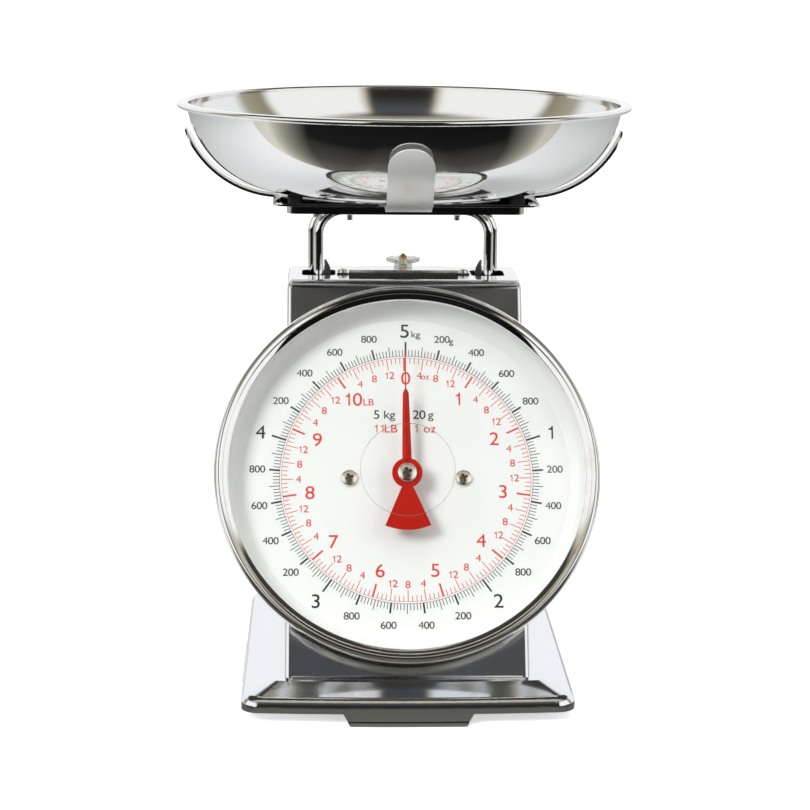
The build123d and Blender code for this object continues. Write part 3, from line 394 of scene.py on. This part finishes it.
# Dial: a dished steel plate, white enamelled, with a small collar round the spindle.
# The enamel has a faint orange peel, and two nickelled cross-head screws hold the plate.
def ramp(tree, source, stops):
    """A node that picks a colour from (position, colour) stops by a value."""
    made = tree.nodes.new("ShaderNodeValToRGB")
    elements = made.color_ramp.elements
    while len(elements) > 1:
        elements.remove(elements[-1])
    for number, (position, colour) in enumerate(stops):
        stop = elements.new(position) if number else elements[0]
        stop.position = position
        stop.color = (*colour, 1.0)[:4]
    feed(tree, source, made.inputs["Fac"])
    return made


def cross_heads(name, places, radius, rise, shank, length, material):
    """Domed cross-head screws, their seats at the given places of the dial's frame."""
    brim, dome = 0.45, 0.55
    slot_half, slot_reach, slot_floor, slot_taper, slot_top = 0.15 * radius, 0.60 * radius, 0.30, 0.55, 1.3
    floor_step = 0.0005
    turned = radians(20)
    outline = [(0.0, rise)] + [
        (radius * sin(radians(a)), rise * (brim + dome * cos(radians(a)))) for a in range(10, 91, 10)
    ]
    outline += [(0.97 * radius, 0.0), (shank, 0.0), (shank, -length), (0.0, -length)]
    tool_work = bmesh.new()
    for wide, deep in ((slot_reach, slot_half), (slot_half, slot_reach)):
        for vert in bmesh.ops.create_cube(tool_work, size=2.0)["verts"]:
            pinch = 1.0 if vert.co.z > 0 else slot_taper
            long_side = wide > deep
            vert.co.x *= wide * (pinch if long_side else 1.0)
            vert.co.y *= deep * (1.0 if long_side else pinch)
            bottom = slot_floor if long_side else slot_floor + floor_step
            vert.co.z = rise * (slot_top if vert.co.z > 0 else bottom)
    tool_mesh = bpy.data.meshes.new("driver")
    tool_work.to_mesh(tool_mesh)
    tool_work.free()
    driver = link("driver", tool_mesh, [])
    blank = turn(name + "_blank", outline, 48, Matrix.Identity(4), [])
    cut = blank.modifiers.new("recess", "BOOLEAN")
    cut.operation = "DIFFERENCE"
    cut.solver = "EXACT"
    cut.use_self = True
    cut.object = driver
    graph = bpy.context.evaluated_depsgraph_get()
    head = bpy.data.meshes.new_from_object(blank.evaluated_get(graph))
    for face in head.polygons:
        reach = face.center.xy.length / radius
        skin = rise * (brim + dome * sqrt(max(0.0, 1.0 - reach ** 2)))
        if reach < 0.62 and 0.1 * rise < face.center.z < skin - 0.04 * rise:
            face.material_index = 1
    work = bmesh.new()
    for place in places:
        copy = head.copy()
        copy.transform(dial_place @ Matrix.Translation(place) @ Matrix.Rotation(turned, 4, "Z"))
        work.from_mesh(copy)
        bpy.data.meshes.remove(copy)
    for spare in (blank, driver):
        bpy.data.objects.remove(spare)
    bpy.data.meshes.remove(head)
    mesh = bpy.data.meshes.new(name)
    work.to_mesh(mesh)
    work.free()
    mesh.set_sharp_from_angle(angle=radians(40))
    return link(name, mesh, [material, recess_shade])


hub_joint = next(joint for joint in frame["joints"] if joint["name"] == "pointer_spin")
dial_out = Vector(hub_joint["axis"]).normalized()
dial_across = Vector((1.0, 0.0, 0.0))
dial_up = dial_out.cross(dial_across)
dial_turn = Matrix((dial_across, dial_up, dial_out)).transposed().to_4x4()
dial_place = Matrix.Translation(Vector(hub_joint["pos_m"])) @ dial_turn
dial_enamel, tree, shader = finish("dial_enamel")
shade = ramp(tree, noise(tree, 14.0), [(0.0, (0.82, 0.85, 0.83)), (1.0, (0.86, 0.885, 0.87))])
shader.inputs["Roughness"].default_value = 0.22
feed(tree, shade.outputs["Color"], shader.inputs["Base Color"])
feed(tree, bumped(tree, noise(tree, 420.0), 0.0002, 0.08), shader.inputs["Normal"])
dress(dial_enamel, "dial_plate")
print_height = 0.0056
collar_in, collar_out, collar_back = 0.0020, 0.0065, 0.0049
collar_outline = [(collar_in, collar_back), (collar_out, collar_back)]
collar_outline += [(collar_out, print_height), (collar_in, print_height)]
collar = turn("dial_collar", collar_outline, 96, dial_place, [dial_enamel], closed=True)
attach(collar, "stand")
head_nickel = polished("head_nickel", (0.95, 0.91, 0.80), gloss=0.17, haze=0.10)
recess_shade = polished("recess_shade", (0.34, 0.31, 0.24), gloss=0.30, haze=0.10)
screw_reach = 0.028
dial_screws = cross_heads(
    "dial_cross_heads", [(-screw_reach, 0.0, print_height), (screw_reach, 0.0, print_height)],
    radius=0.0041, rise=0.0022, shank=0.0015, length=0.008, material=head_nickel,
)
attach(dial_screws, "stand")
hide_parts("dial_screws")

# Printed scales: kilograms in black outside, pounds and ounces in red inside, both read clockwise.
# The ink is screen printed on the enamel, so it stands only a few hundredths of a millimetre proud.
ink = 0.00004
stroke_gain = 0.00004


def printed(name, material, marks, words, circle):
    """Marks, words and a thin circle of one ink, as one thin closed mesh on the dial's face."""
    cap_share, letter_pitch, letter_width = 0.685, 0.75, 1.1
    digit_one = [
        (0.17, 0.0), (0.17, 1.0), (0.07, 1.0), (0.03, 0.91), (-0.05, 0.83), (-0.18, 0.79), (-0.18, 0.70),
        (0.04, 0.70), (0.04, 0.0),
    ]
    work = bmesh.new()

    def block(points):
        under = [work.verts.new((x, y, print_height - ink)) for x, y in points]
        top = [work.verts.new((x, y, print_height + ink)) for x, y in points]
        work.faces.new(list(reversed(under)))
        work.faces.new(top)
        for i in range(len(points)):
            j = (i + 1) % len(points)
            work.faces.new((under[i], under[j], top[j], top[i]))

    for share, start, end, width in marks:
        angle = 2 * pi * share
        along = Vector((sin(angle), cos(angle)))
        across = Vector((cos(angle), -sin(angle))) * (width / 2)
        a, b = along * start, along * end
        block([tuple(a + across), tuple(b + across), tuple(b - across), tuple(a - across)])
    steps = 240
    line = 0.0001
    loops = []
    for side, height in ((-line, -ink), (line, -ink), (line, ink), (-line, ink)):
        radius = circle + side
        loops.append([
            work.verts.new(
                (radius * sin(2 * pi * i / steps), radius * cos(2 * pi * i / steps), print_height + height)
            )
            for i in range(steps)
        ])
    for one, two in zip(loops, loops[1:] + loops[:1]):
        for i in range(steps):
            j = (i + 1) % steps
            work.faces.new((one[i], one[j], two[j], two[i]))
    for text, x, y, cap in words:
        cells = [text] if text.isalpha() else list(text)
        for place, cell in enumerate(cells):
            middle = x + (place - (len(cells) - 1) / 2) * letter_pitch * cap
            foot = y - cap / 2
            if cell == "1":
                block([(middle + across * cap, foot + rise * cap) for across, rise in digit_one])
                continue
            letters = bpy.data.curves.new("letters", "FONT")
            letters.body = cell
            letters.align_x = "CENTER"
            letters.size = cap / cap_share
            letters.extrude = ink
            letters.offset = 0.0 if cell == "4" else stroke_gain
            holder = bpy.data.objects.new("letters", letters)
            mesh = bpy.data.meshes.new_from_object(holder)
            widen = Matrix.Diagonal((letter_width, 1.0, 1.0, 1.0))
            mesh.transform(Matrix.Translation((middle, foot, print_height)) @ widen)
            work.from_mesh(mesh)
            bpy.data.meshes.remove(mesh)
            bpy.data.objects.remove(holder)
            bpy.data.curves.remove(letters)
    bmesh.ops.remove_doubles(work, verts=work.verts[:], dist=1e-7)
    bmesh.ops.recalc_face_normals(work, faces=work.faces[:])
    mesh = bpy.data.meshes.new(name)
    work.to_mesh(mesh)
    work.free()
    mesh.transform(dial_place)
    piece = link(name, mesh, [material])
    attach(piece, "stand")


def ring_place(share, radius):
    """Place on the dial of a number at that share of a turn."""
    return radius * sin(2 * pi * share), radius * cos(2 * pi * share)


def printing_ink(name, colour):
    """Screen-printed ink with a slightly uneven cover."""
    made, tree, shader = finish(name)
    thin_cover = [0.8 * part + 0.03 for part in colour]
    shade = ramp(tree, noise(tree, 700.0), [(0.0, colour), (1.0, thin_cover)])
    shader.inputs["Roughness"].default_value = 0.4
    feed(tree, shade.outputs["Color"], shader.inputs["Base Color"])
    return made


bold, thin, hair = 0.0009, 0.00038, 0.00036
scale_circle = 0.0622
kilo_tick, label_tick, half_tick, fine_tick = 0.0073, 0.0052, 0.0050, 0.0032
kilo_ring, kilo_cap, gram_ring, gram_cap = 0.0752, 0.0066, 0.0732, 0.0035
black_marks, black_words = [], []
for step in range(250):
    share = step / 250
    if step % 50 == 0:
        tick, width = kilo_tick, bold
    elif step % 10 == 0:
        tick, width = label_tick, bold
    elif step % 5 == 0:
        tick, width = half_tick, thin
    else:
        tick, width = fine_tick, hair
    black_marks.append((share, scale_circle, scale_circle + tick, width))
    if step % 50 == 0 and step:
        black_words.append((str(step // 50), *ring_place(share, kilo_ring), kilo_cap))
    elif step % 10 == 0 and step:
        black_words.append((str(step % 50 * 20), *ring_place(share, gram_ring), gram_cap))
black_words += [
    ("5", -0.0004, 0.0752, 0.0068), ("kg", 0.0050, 0.0735, 0.0032), ("g", 0.0228, 0.0700, 0.0030),
    ("5", -0.0145, 0.0322, 0.0043), ("kg", -0.0083, 0.0322, 0.0040),
    ("20", 0.0065, 0.0322, 0.0043), ("g", 0.0122, 0.0322, 0.0040),
]
turn_kg = 5.0
turn_lb = turn_kg / 0.45359237
red_circle = scale_circle - 0.0010
pound_tick, quarter_tick, ounce_tick = 0.0067, 0.0058, 0.0029
pound_ring, pound_cap, ounce_ring, ounce_cap = 0.0478, 0.0064, 0.0528, 0.0035
last_ounce = 176
unit_room = 0.0007
red_marks, red_words = [], []
for step in range(int(turn_lb * 16) + 1):
    share = step / 16 / turn_lb
    if step % 16 == 0:
        tick, width = pound_tick, bold if step else hair
    elif step % 4 == 0:
        tick, width = quarter_tick, thin
    else:
        tick, width = ounce_tick, hair
    red_marks.append((share, red_circle - tick, red_circle, width))
    if step % 16 == 0 and 0 < step < last_ounce:
        red_words.append((str(step // 16), *ring_place(share, pound_ring), pound_cap))
    elif step % 4 == 0 and 0 < step < last_ounce:
        x, y = ring_place(share, ounce_ring)
        red_words.append((str(step % 16), x if step > 4 else x - unit_room, y, ounce_cap))
red_words += [
    ("0", 0.0, 0.0508, 0.0064), ("LB", -0.0186, 0.0385, 0.0033), ("oz", 0.0095, 0.0517, 0.0028),
    ("11", -0.0133, 0.0251, 0.0040), ("LB", -0.0076, 0.0251, 0.0040),
    ("1", 0.0050, 0.0251, 0.0040), ("oz", 0.0116, 0.0251, 0.0040),
]
black_ink = printing_ink("black_ink", (0.012, 0.012, 0.013))
red_ink = printing_ink("red_ink", (0.74, 0.038, 0.020))
printed("kilogram_scale", black_ink, black_marks, black_words, scale_circle)
printed("pound_scale", red_ink, red_marks, red_words, red_circle)

# Pointer: pressed from thin sheet and sprayed red, with a raised ridge along the needle and a fan tail.
# A nickelled cross-head screw clamps it on its spindle, where it stands a hair to the left of zero.
pointer_red, tree, shader = finish("pointer_red")
spray = noise(tree, 300.0)
shade = ramp(tree, spray, [(0.0, (0.41, 0.009, 0.002)), (1.0, (0.46, 0.012, 0.003))])
shader.inputs["Roughness"].default_value = 0.30
shader.inputs["Specular IOR Level"].default_value = 0.05
shader.inputs["Coat Weight"].default_value = 0.35
shader.inputs["Coat Roughness"].default_value = 0.06
feed(tree, shade.outputs["Color"], shader.inputs["Base Color"])
feed(tree, bumped(tree, spray, 0.0002, 0.10), shader.inputs["Normal"])
hand_front = 0.0180
hand_lean = radians(0.65)
hand_sheet = 0.0009
hand_edge = 0.00012
hub_radius = 0.0074
hub_meet = radians(22)
tail_reach = 0.0282
tail_half = radians(21)
tail_apex = 0.0030
ridge = [
    (0.0050, 0.00230, 0.0016), (0.0120, 0.00222, 0.0016), (0.0392, 0.00155, 0.0013),
    (0.0405, 0.00140, 0.0012), (0.0424, 0.00040, 0.0009), (0.0430, 0.00035, 0.0009),
    (0.0620, 0.00025, 0.0006),
]
work = bmesh.new()
spans = []
for along, half, depth in ridge:
    section = [(-half, -depth), (half, -depth), (half, -0.85 * depth), (0.30 * half, 0.0)]
    section += [(-0.26 * half, 0.0), (-half, -0.55 * depth)]
    spans.append([work.verts.new((x, along, hand_front + z)) for x, z in section])
for one, two in zip(spans, spans[1:]):
    for i in range(len(one)):
        j = (i + 1) % len(one)
        work.faces.new((one[i], one[j], two[j], two[i]))
work.faces.new(spans[0])
work.faces.new(spans[-1][::-1])
far = tail_apex * cos(tail_half) + sqrt(tail_reach ** 2 - (tail_apex * sin(tail_half)) ** 2)
swing = atan2(far * sin(tail_half), far * cos(tail_half) - tail_apex)
round_hub = [hub_meet + (2 * pi - 2 * hub_meet) * i / 64 for i in range(65)]
round_tail = [-swing + 2 * swing * i / 16 for i in range(17)]
outline = [(hub_radius * sin(a), -hub_radius * cos(a)) for a in round_hub]
outline += [(tail_reach * sin(a), -tail_reach * cos(a)) for a in round_tail]
plate = work.faces.new([work.verts.new((x, y, hand_front - hand_sheet)) for x, y in outline])
lifted = bmesh.ops.extrude_face_region(work, geom=[plate])["geom"]
raised = [item for item in lifted if isinstance(item, bmesh.types.BMVert)]
plate_top = next(item for item in lifted if isinstance(item, bmesh.types.BMFace))
bmesh.ops.translate(work, verts=raised, vec=(0, 0, hand_sheet))
bmesh.ops.bevel(
    work, geom=list(plate_top.edges), offset=hand_edge, segments=2, affect="EDGES", profile=0.5,
    clamp_overlap=True,
)
bmesh.ops.recalc_face_normals(work, faces=work.faces[:])
mesh = bpy.data.meshes.new("pointer_hand")
work.to_mesh(mesh)
work.free()
mesh.transform(dial_place @ Matrix.Rotation(hand_lean, 4, "Z"))
pointer = link("pointer_hand", mesh, [pointer_red])
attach(pointer, "hand")
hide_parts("pointer")
clamp = cross_heads(
    "pointer_cross_head", [(0.0, 0.0, hand_front)],
    radius=0.0047, rise=0.0022, shank=0.0009, length=0.006, material=head_nickel,
)
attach(clamp, "hand")
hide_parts("pointer_screw")

# Lens: a moulded clear window, slightly domed, with a raised round boss in the middle.
# The bezel presses its flat edge against the dial's flange.
lens_clear, tree, shader = finish("lens_clear")
facing = tree.nodes.new("ShaderNodeLayerWeight")
facing.inputs["Blend"].default_value = 0.5
steep = maths(tree, "POWER", facing.outputs["Facing"], 5.0)
shader.inputs["Base Color"].default_value = (1.0, 1.0, 1.0, 1.0)
shader.inputs["Metallic"].default_value = 1.0
shader.inputs["Roughness"].default_value = 0.02
feed(tree, maths(tree, "MULTIPLY_ADD", steep, 0.95, 0.04), shader.inputs["Alpha"])
dress(lens_clear, "lens")
# A thin grey ring sits at the boss's step: a painted dark line standing in for the shading the clear step
# gives by bending and mirroring light.
boss_painted_line, tree, shader = finish("boss_painted_line")
shader.inputs["Base Color"].default_value = (0.20, 0.21, 0.20, 1.0)
shader.inputs["Roughness"].default_value = 0.2
feed(tree, spread(tree, noise(tree, 90.0), 0.0, 1.0, 0.25, 0.50), shader.inputs["Alpha"])
boss_radius, boss_low, boss_top, boss_line = 0.0230, 0.02455, 0.02500, 0.00022
boss_outline = [
    (boss_radius - boss_line, boss_low), (boss_radius, boss_low), (boss_radius, boss_top),
    (boss_radius - boss_line, boss_top),
]
boss = turn("lens_boss_painted_line", boss_outline, 128, dial_place, [boss_painted_line], closed=True)
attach(boss, "stand")

# Bezel: a rolled and chromed ring pushed over the drum.
# Its front has a sharp crest, a bead line and a lip that slopes in to the lens.
bezel_chrome = polished("bezel_chrome", (0.86, 0.86, 0.855), gloss=0.035, haze=0.04, ripple=0.02)
skirt_in, skirt_out, skirt_edge, seat = 0.09065, 0.09145, 0.0080, 0.0200
roll_radius, roll_height, roll_wide, roll_high, roll_end = 0.0902, 0.0209, 0.0034, 0.0037, 65
crest_round, crest_end = 0.0012, 112
roll = [
    (roll_radius + roll_wide * cos(radians(a)), roll_height + roll_high * sin(radians(a)))
    for a in range(-roll_end, roll_end + 1, 5)
]
crest_middle = (
    roll[-1][0] - crest_round * cos(radians(roll_end)), roll[-1][1] - crest_round * sin(radians(roll_end)),
)
crest = arc(crest_middle, crest_round, roll_end, crest_end, 8)
slopes = [
    (112, 1.3), (120, 0.15), (135, 0.15), (150, 0.35), (135, 0.12), (120, 0.12), (116, 2.1),
    (125, 0.2), (140, 0.2), (155, 0.2), (170, 0.2),
]
lip = [crest[-1]]
for facing_angle, run in slopes:
    lip.append((
        lip[-1][0] - 0.001 * run * sin(radians(facing_angle)),
        lip[-1][1] + 0.001 * run * cos(radians(facing_angle)),
    ))
outline = [(skirt_in, skirt_edge), (skirt_out, skirt_edge), (skirt_out, roll[0][1])]
outline += roll[1:] + crest[1:] + lip[1:] + [(lip[-1][0], seat), (skirt_in, seat)]
bezel = turn("rolled_bezel", outline, 320, dial_place, [bezel_chrome], closed=True)
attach(bezel, "stand")
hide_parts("bezel")

# Zero adjuster: a pressed and chromed bracket screwed on the housing top, a brass stud and a clear knob.
# The knob is moulded in clear plastic that has gone a little milky, with fine flutes round its disc.
knob_clear, tree, shader = finish("knob_clear")
cloud = noise(tree, 160.0)
shade = ramp(tree, cloud, [(0.0, (0.94, 0.95, 0.93)), (1.0, (0.99, 0.99, 0.98))])
shader.inputs["Transmission Weight"].default_value = 0.85
shader.inputs["IOR"].default_value = 1.49
feed(tree, shade.outputs["Color"], shader.inputs["Base Color"])
feed(tree, spread(tree, cloud, 0.0, 1.0, 0.06, 0.20), shader.inputs["Roughness"])
low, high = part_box("zero_knob")
knob_axis = Vector(((low.x + high.x) / 2, (low.y + high.y) / 2, low.z))
knob_outline = [
    (0.0022, 0.0), (0.0045, 0.0), (0.00485, 0.0003), (0.00485, 0.0027), (0.0051, 0.0029), (0.0079, 0.0029),
    (0.0085, 0.0029), (0.0087, 0.0031), (0.0087, 0.0047), (0.0085, 0.0049), (0.0079, 0.0049),
    (0.0022, 0.0049),
]
flute_start, flute_count, flute_depth = 0.0080, 36, 0.055
knob = turn("fluted_knob", knob_outline, 288, Matrix.Identity(4), [knob_clear], closed=True)
for vert in knob.data.vertices:
    if vert.co.xy.length > flute_start:
        flute = 0.5 - 0.5 * cos(flute_count * atan2(vert.co.y, vert.co.x))
        vert.co.xy *= 1.0 - flute_depth * flute
knob.data.transform(Matrix.Translation(knob_axis))
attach(knob, "knob")
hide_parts("zero_knob")
bracket_chrome = polished("bracket_chrome", (0.80, 0.80, 0.79), gloss=0.08, haze=0.08, ripple=0.03)
dress(bracket_chrome, "adjust_bracket")
dress(head_nickel, "bracket_screws")
dress(movement_brass, "adjust_stud")

# Studio: a white table in a white room, two tall soft panels beside the camera and dark between them.
# The table is white to the camera; to reflections and bounced light it carries painted shade, dark in front
# of the scale, and the metal mirrors these darker tones.
# Three soft lamps light the scale without being mirrored.
floor_work = bmesh.new()
bmesh.ops.create_grid(floor_work, x_segments=8, y_segments=8, size=6.0)
floor_mesh = bpy.data.meshes.new("table_top")
floor_work.to_mesh(floor_mesh)
floor_work.free()
table_shade_painted, tree, shader = finish("table_painted_shade")
shader.inputs["Roughness"].default_value = 0.7
shader.inputs["Specular IOR Level"].default_value = 0.0
shader.inputs["Emission Color"].default_value = (1.0, 1.0, 1.0, 1.0)
path = tree.nodes.new("ShaderNodeLightPath")
spot = tree.nodes.new("ShaderNodeTexCoord")
split = tree.nodes.new("ShaderNodeSeparateXYZ")
feed(tree, spot.outputs["Object"], split.inputs["Vector"])
aside = maths(tree, "ABSOLUTE", split.outputs["X"])
# Beside the base the dark reaches 5 cm further back: a painted shadow of the base, seen in its skirt.
reach = maths(tree, "SUBTRACT", split.outputs["Y"], spread(tree, aside, 0.075, 0.115, 0.0, 0.05))
front_end, front_start = -0.60, -0.10
# Painted shade: seen by all but the camera, the table runs from black far in front to dim warm grey just
# before the scale, then white.
painted_shade_tones = [
    (-0.60, (0.006, 0.006, 0.006)), (-0.36, (0.009, 0.009, 0.009)), (-0.20, (0.055, 0.053, 0.047)),
    (-0.135, (0.120, 0.116, 0.102)), (-0.129, (0.150, 0.145, 0.125)), (-0.122, (0.82, 0.84, 0.87)),
]
shade = ramp(
    tree, spread(tree, reach, front_end, front_start),
    [((forward - front_end) / (front_start - front_end), tone) for forward, tone in painted_shade_tones],
)
# Painted reflection: far out to the sides the table turns cream, for the cream patches mirrored in the bowl.
ahead_of = maths(tree, "MAXIMUM", maths(tree, "MULTIPLY", split.outputs["Y"], -4.0), 0.2)
side_painted_tint = ramp(
    tree, maths(tree, "DIVIDE", aside, ahead_of), [(0.32, (0.0, 0.0, 0.0)), (1.0, (0.62, 0.60, 0.52))],
)
brighter = mixed(tree, 1.0, shade.outputs["Color"], side_painted_tint.outputs["Color"], "LIGHTEN")
seen = mixed(tree, path.outputs["Is Camera Ray"], brighter, (1.0, 1.0, 1.0, 1.0))
feed(tree, seen, shader.inputs["Base Color"])
distance = tree.nodes.new("ShaderNodeVectorMath")
distance.operation = "LENGTH"
feed(tree, spot.outputs["Object"], distance.inputs[0])
away = spread(tree, distance.outputs["Value"], 0.18, 0.60, 0.55, 1.0)
# The table also glows for the camera, less near the scale, so that its shadow still shows.
feed(tree, maths(tree, "MULTIPLY", path.outputs["Is Camera Ray"], away), shader.inputs["Emission Strength"])
floor = link("table_top", floor_mesh, [table_shade_painted])

world = bpy.data.worlds.new("studio")
bpy.context.scene.world = world
world.use_nodes = True
tree = world.node_tree
tree.nodes.clear()
ray = tree.nodes.new("ShaderNodeTexCoord")
split = tree.nodes.new("ShaderNodeSeparateXYZ")
feed(tree, ray.outputs["Generated"], split.inputs["Vector"])
frontward = maths(tree, "MULTIPLY", split.outputs["Y"], -1.0)
bearing = maths(tree, "ARCTAN2", split.outputs["X"], frontward)
white, panel, cool = (1.0, 1.0, 1.0, 1), (1.05, 1.05, 1.05, 1), (0.97, 0.98, 1.0, 1)
panel_edge, gap_edge, dark = (0.62, 0.58, 0.46, 1), (0.20, 0.18, 0.13, 0), (0.0, 0.0, 0.0, 0)
brown = (0.30, 0.27, 0.19, 1)
wall_tones = [
    (-180, white), (-122, cool), (-112, (0.45, 0.42, 0.32, 1)), (-94, brown), (-87, panel), (-25, panel),
    (-21, panel_edge), (-17, gap_edge), (0, dark), (17, gap_edge), (21, panel_edge), (25, panel), (80, panel),
    (86, brown), (100, (0.42, 0.40, 0.30, 1)), (108, cool), (180, white),
]
walls = ramp(
    tree, spread(tree, bearing, -pi, pi), [((azimuth + 180) / 360, tone) for azimuth, tone in wall_tones],
)
level = spread(tree, maths(tree, "ARCSINE", split.outputs["Z"]), 0.0, pi / 2)
gap = ramp(tree, level, [(20 / 90, (0.026, 0.025, 0.021)), (42 / 90, (0.095, 0.100, 0.115))])
sweep = spread(tree, maths(tree, "ARCTAN2", split.outputs["Z"], frontward), 0.0, pi)
ceiling_tones = [(40, 0.06), (46, 0.06), (50, 0.42), (70, 0.62), (77, 0.05), (140, 0.04), (180, 0.04)]
ceiling = ramp(
    tree, sweep, [(turned / 180, (tone, tone * 0.94, tone * 0.76)) for turned, tone in ceiling_tones],
)
front = mixed(tree, walls.outputs["Alpha"], gap.outputs["Color"], walls.outputs["Color"])
cover = spread(tree, level, 38 / 90, 46 / 90, shape="SMOOTHSTEP")
room = mixed(tree, cover, front, ceiling.outputs["Color"])
path = tree.nodes.new("ShaderNodeLightPath")
clear = maths(tree, "MAXIMUM", path.outputs["Is Camera Ray"], path.outputs["Is Transmission Ray"])
backdrop = tree.nodes.new("ShaderNodeBackground")
sky = tree.nodes.new("ShaderNodeOutputWorld")
feed(tree, mixed(tree, clear, room, (1.0, 1.0, 1.0, 1.0)), backdrop.inputs["Color"])
feed(tree, backdrop.outputs["Background"], sky.inputs["Surface"])


def soft_lamp(name, place, size, power):
    """A large soft lamp turned to the scale, which the metal doesn't mirror."""
    target = Vector((0.0, -0.03, 0.15))
    data = bpy.data.lights.new(name, "AREA")
    data.energy = power
    data.size = size
    lamp = bpy.data.objects.new(name, data)
    bpy.context.scene.collection.objects.link(lamp)
    lamp.location = place
    lamp.rotation_euler = (target - Vector(place)).to_track_quat("-Z", "Y").to_euler()
    lamp.visible_glossy = False


soft_lamp("left_panel", (-0.75, -1.1, 0.95), size=0.5, power=16.0)
soft_lamp("right_panel", (0.9, -1.1, 0.9), size=0.9, power=4.0)
soft_lamp("top_panel", (0.0, -0.3, 1.5), size=1.2, power=8.0)

# Camera: at the photograph's place, a little to the left of the scale and above its bowl.
# Its place, angles and long lens come from the fit to the measured points.
camera_place = (-0.0386, -1.1140, 0.3713)
yaw, pitch, tilt = radians(2.05), radians(12.29), radians(0.54)
ahead = Vector((sin(yaw) * cos(pitch), cos(yaw) * cos(pitch), -sin(pitch)))
level_right = Vector((cos(yaw), -sin(yaw), 0.0))
level_up = level_right.cross(ahead)
right = cos(tilt) * level_right + sin(tilt) * level_up
above = -sin(tilt) * level_right + cos(tilt) * level_up
lens_data = bpy.data.cameras.new("camera")
lens_data.sensor_width = 36.0
lens_data.lens = 98.07
camera = bpy.data.objects.new("camera", lens_data)
bpy.context.scene.collection.objects.link(camera)
camera_turn = Matrix((right, above, -ahead)).transposed().to_4x4()
camera.matrix_world = Matrix.Translation(camera_place) @ camera_turn
bpy.context.scene.camera = camera
bpy.context.scene.view_settings.view_transform = "Standard"
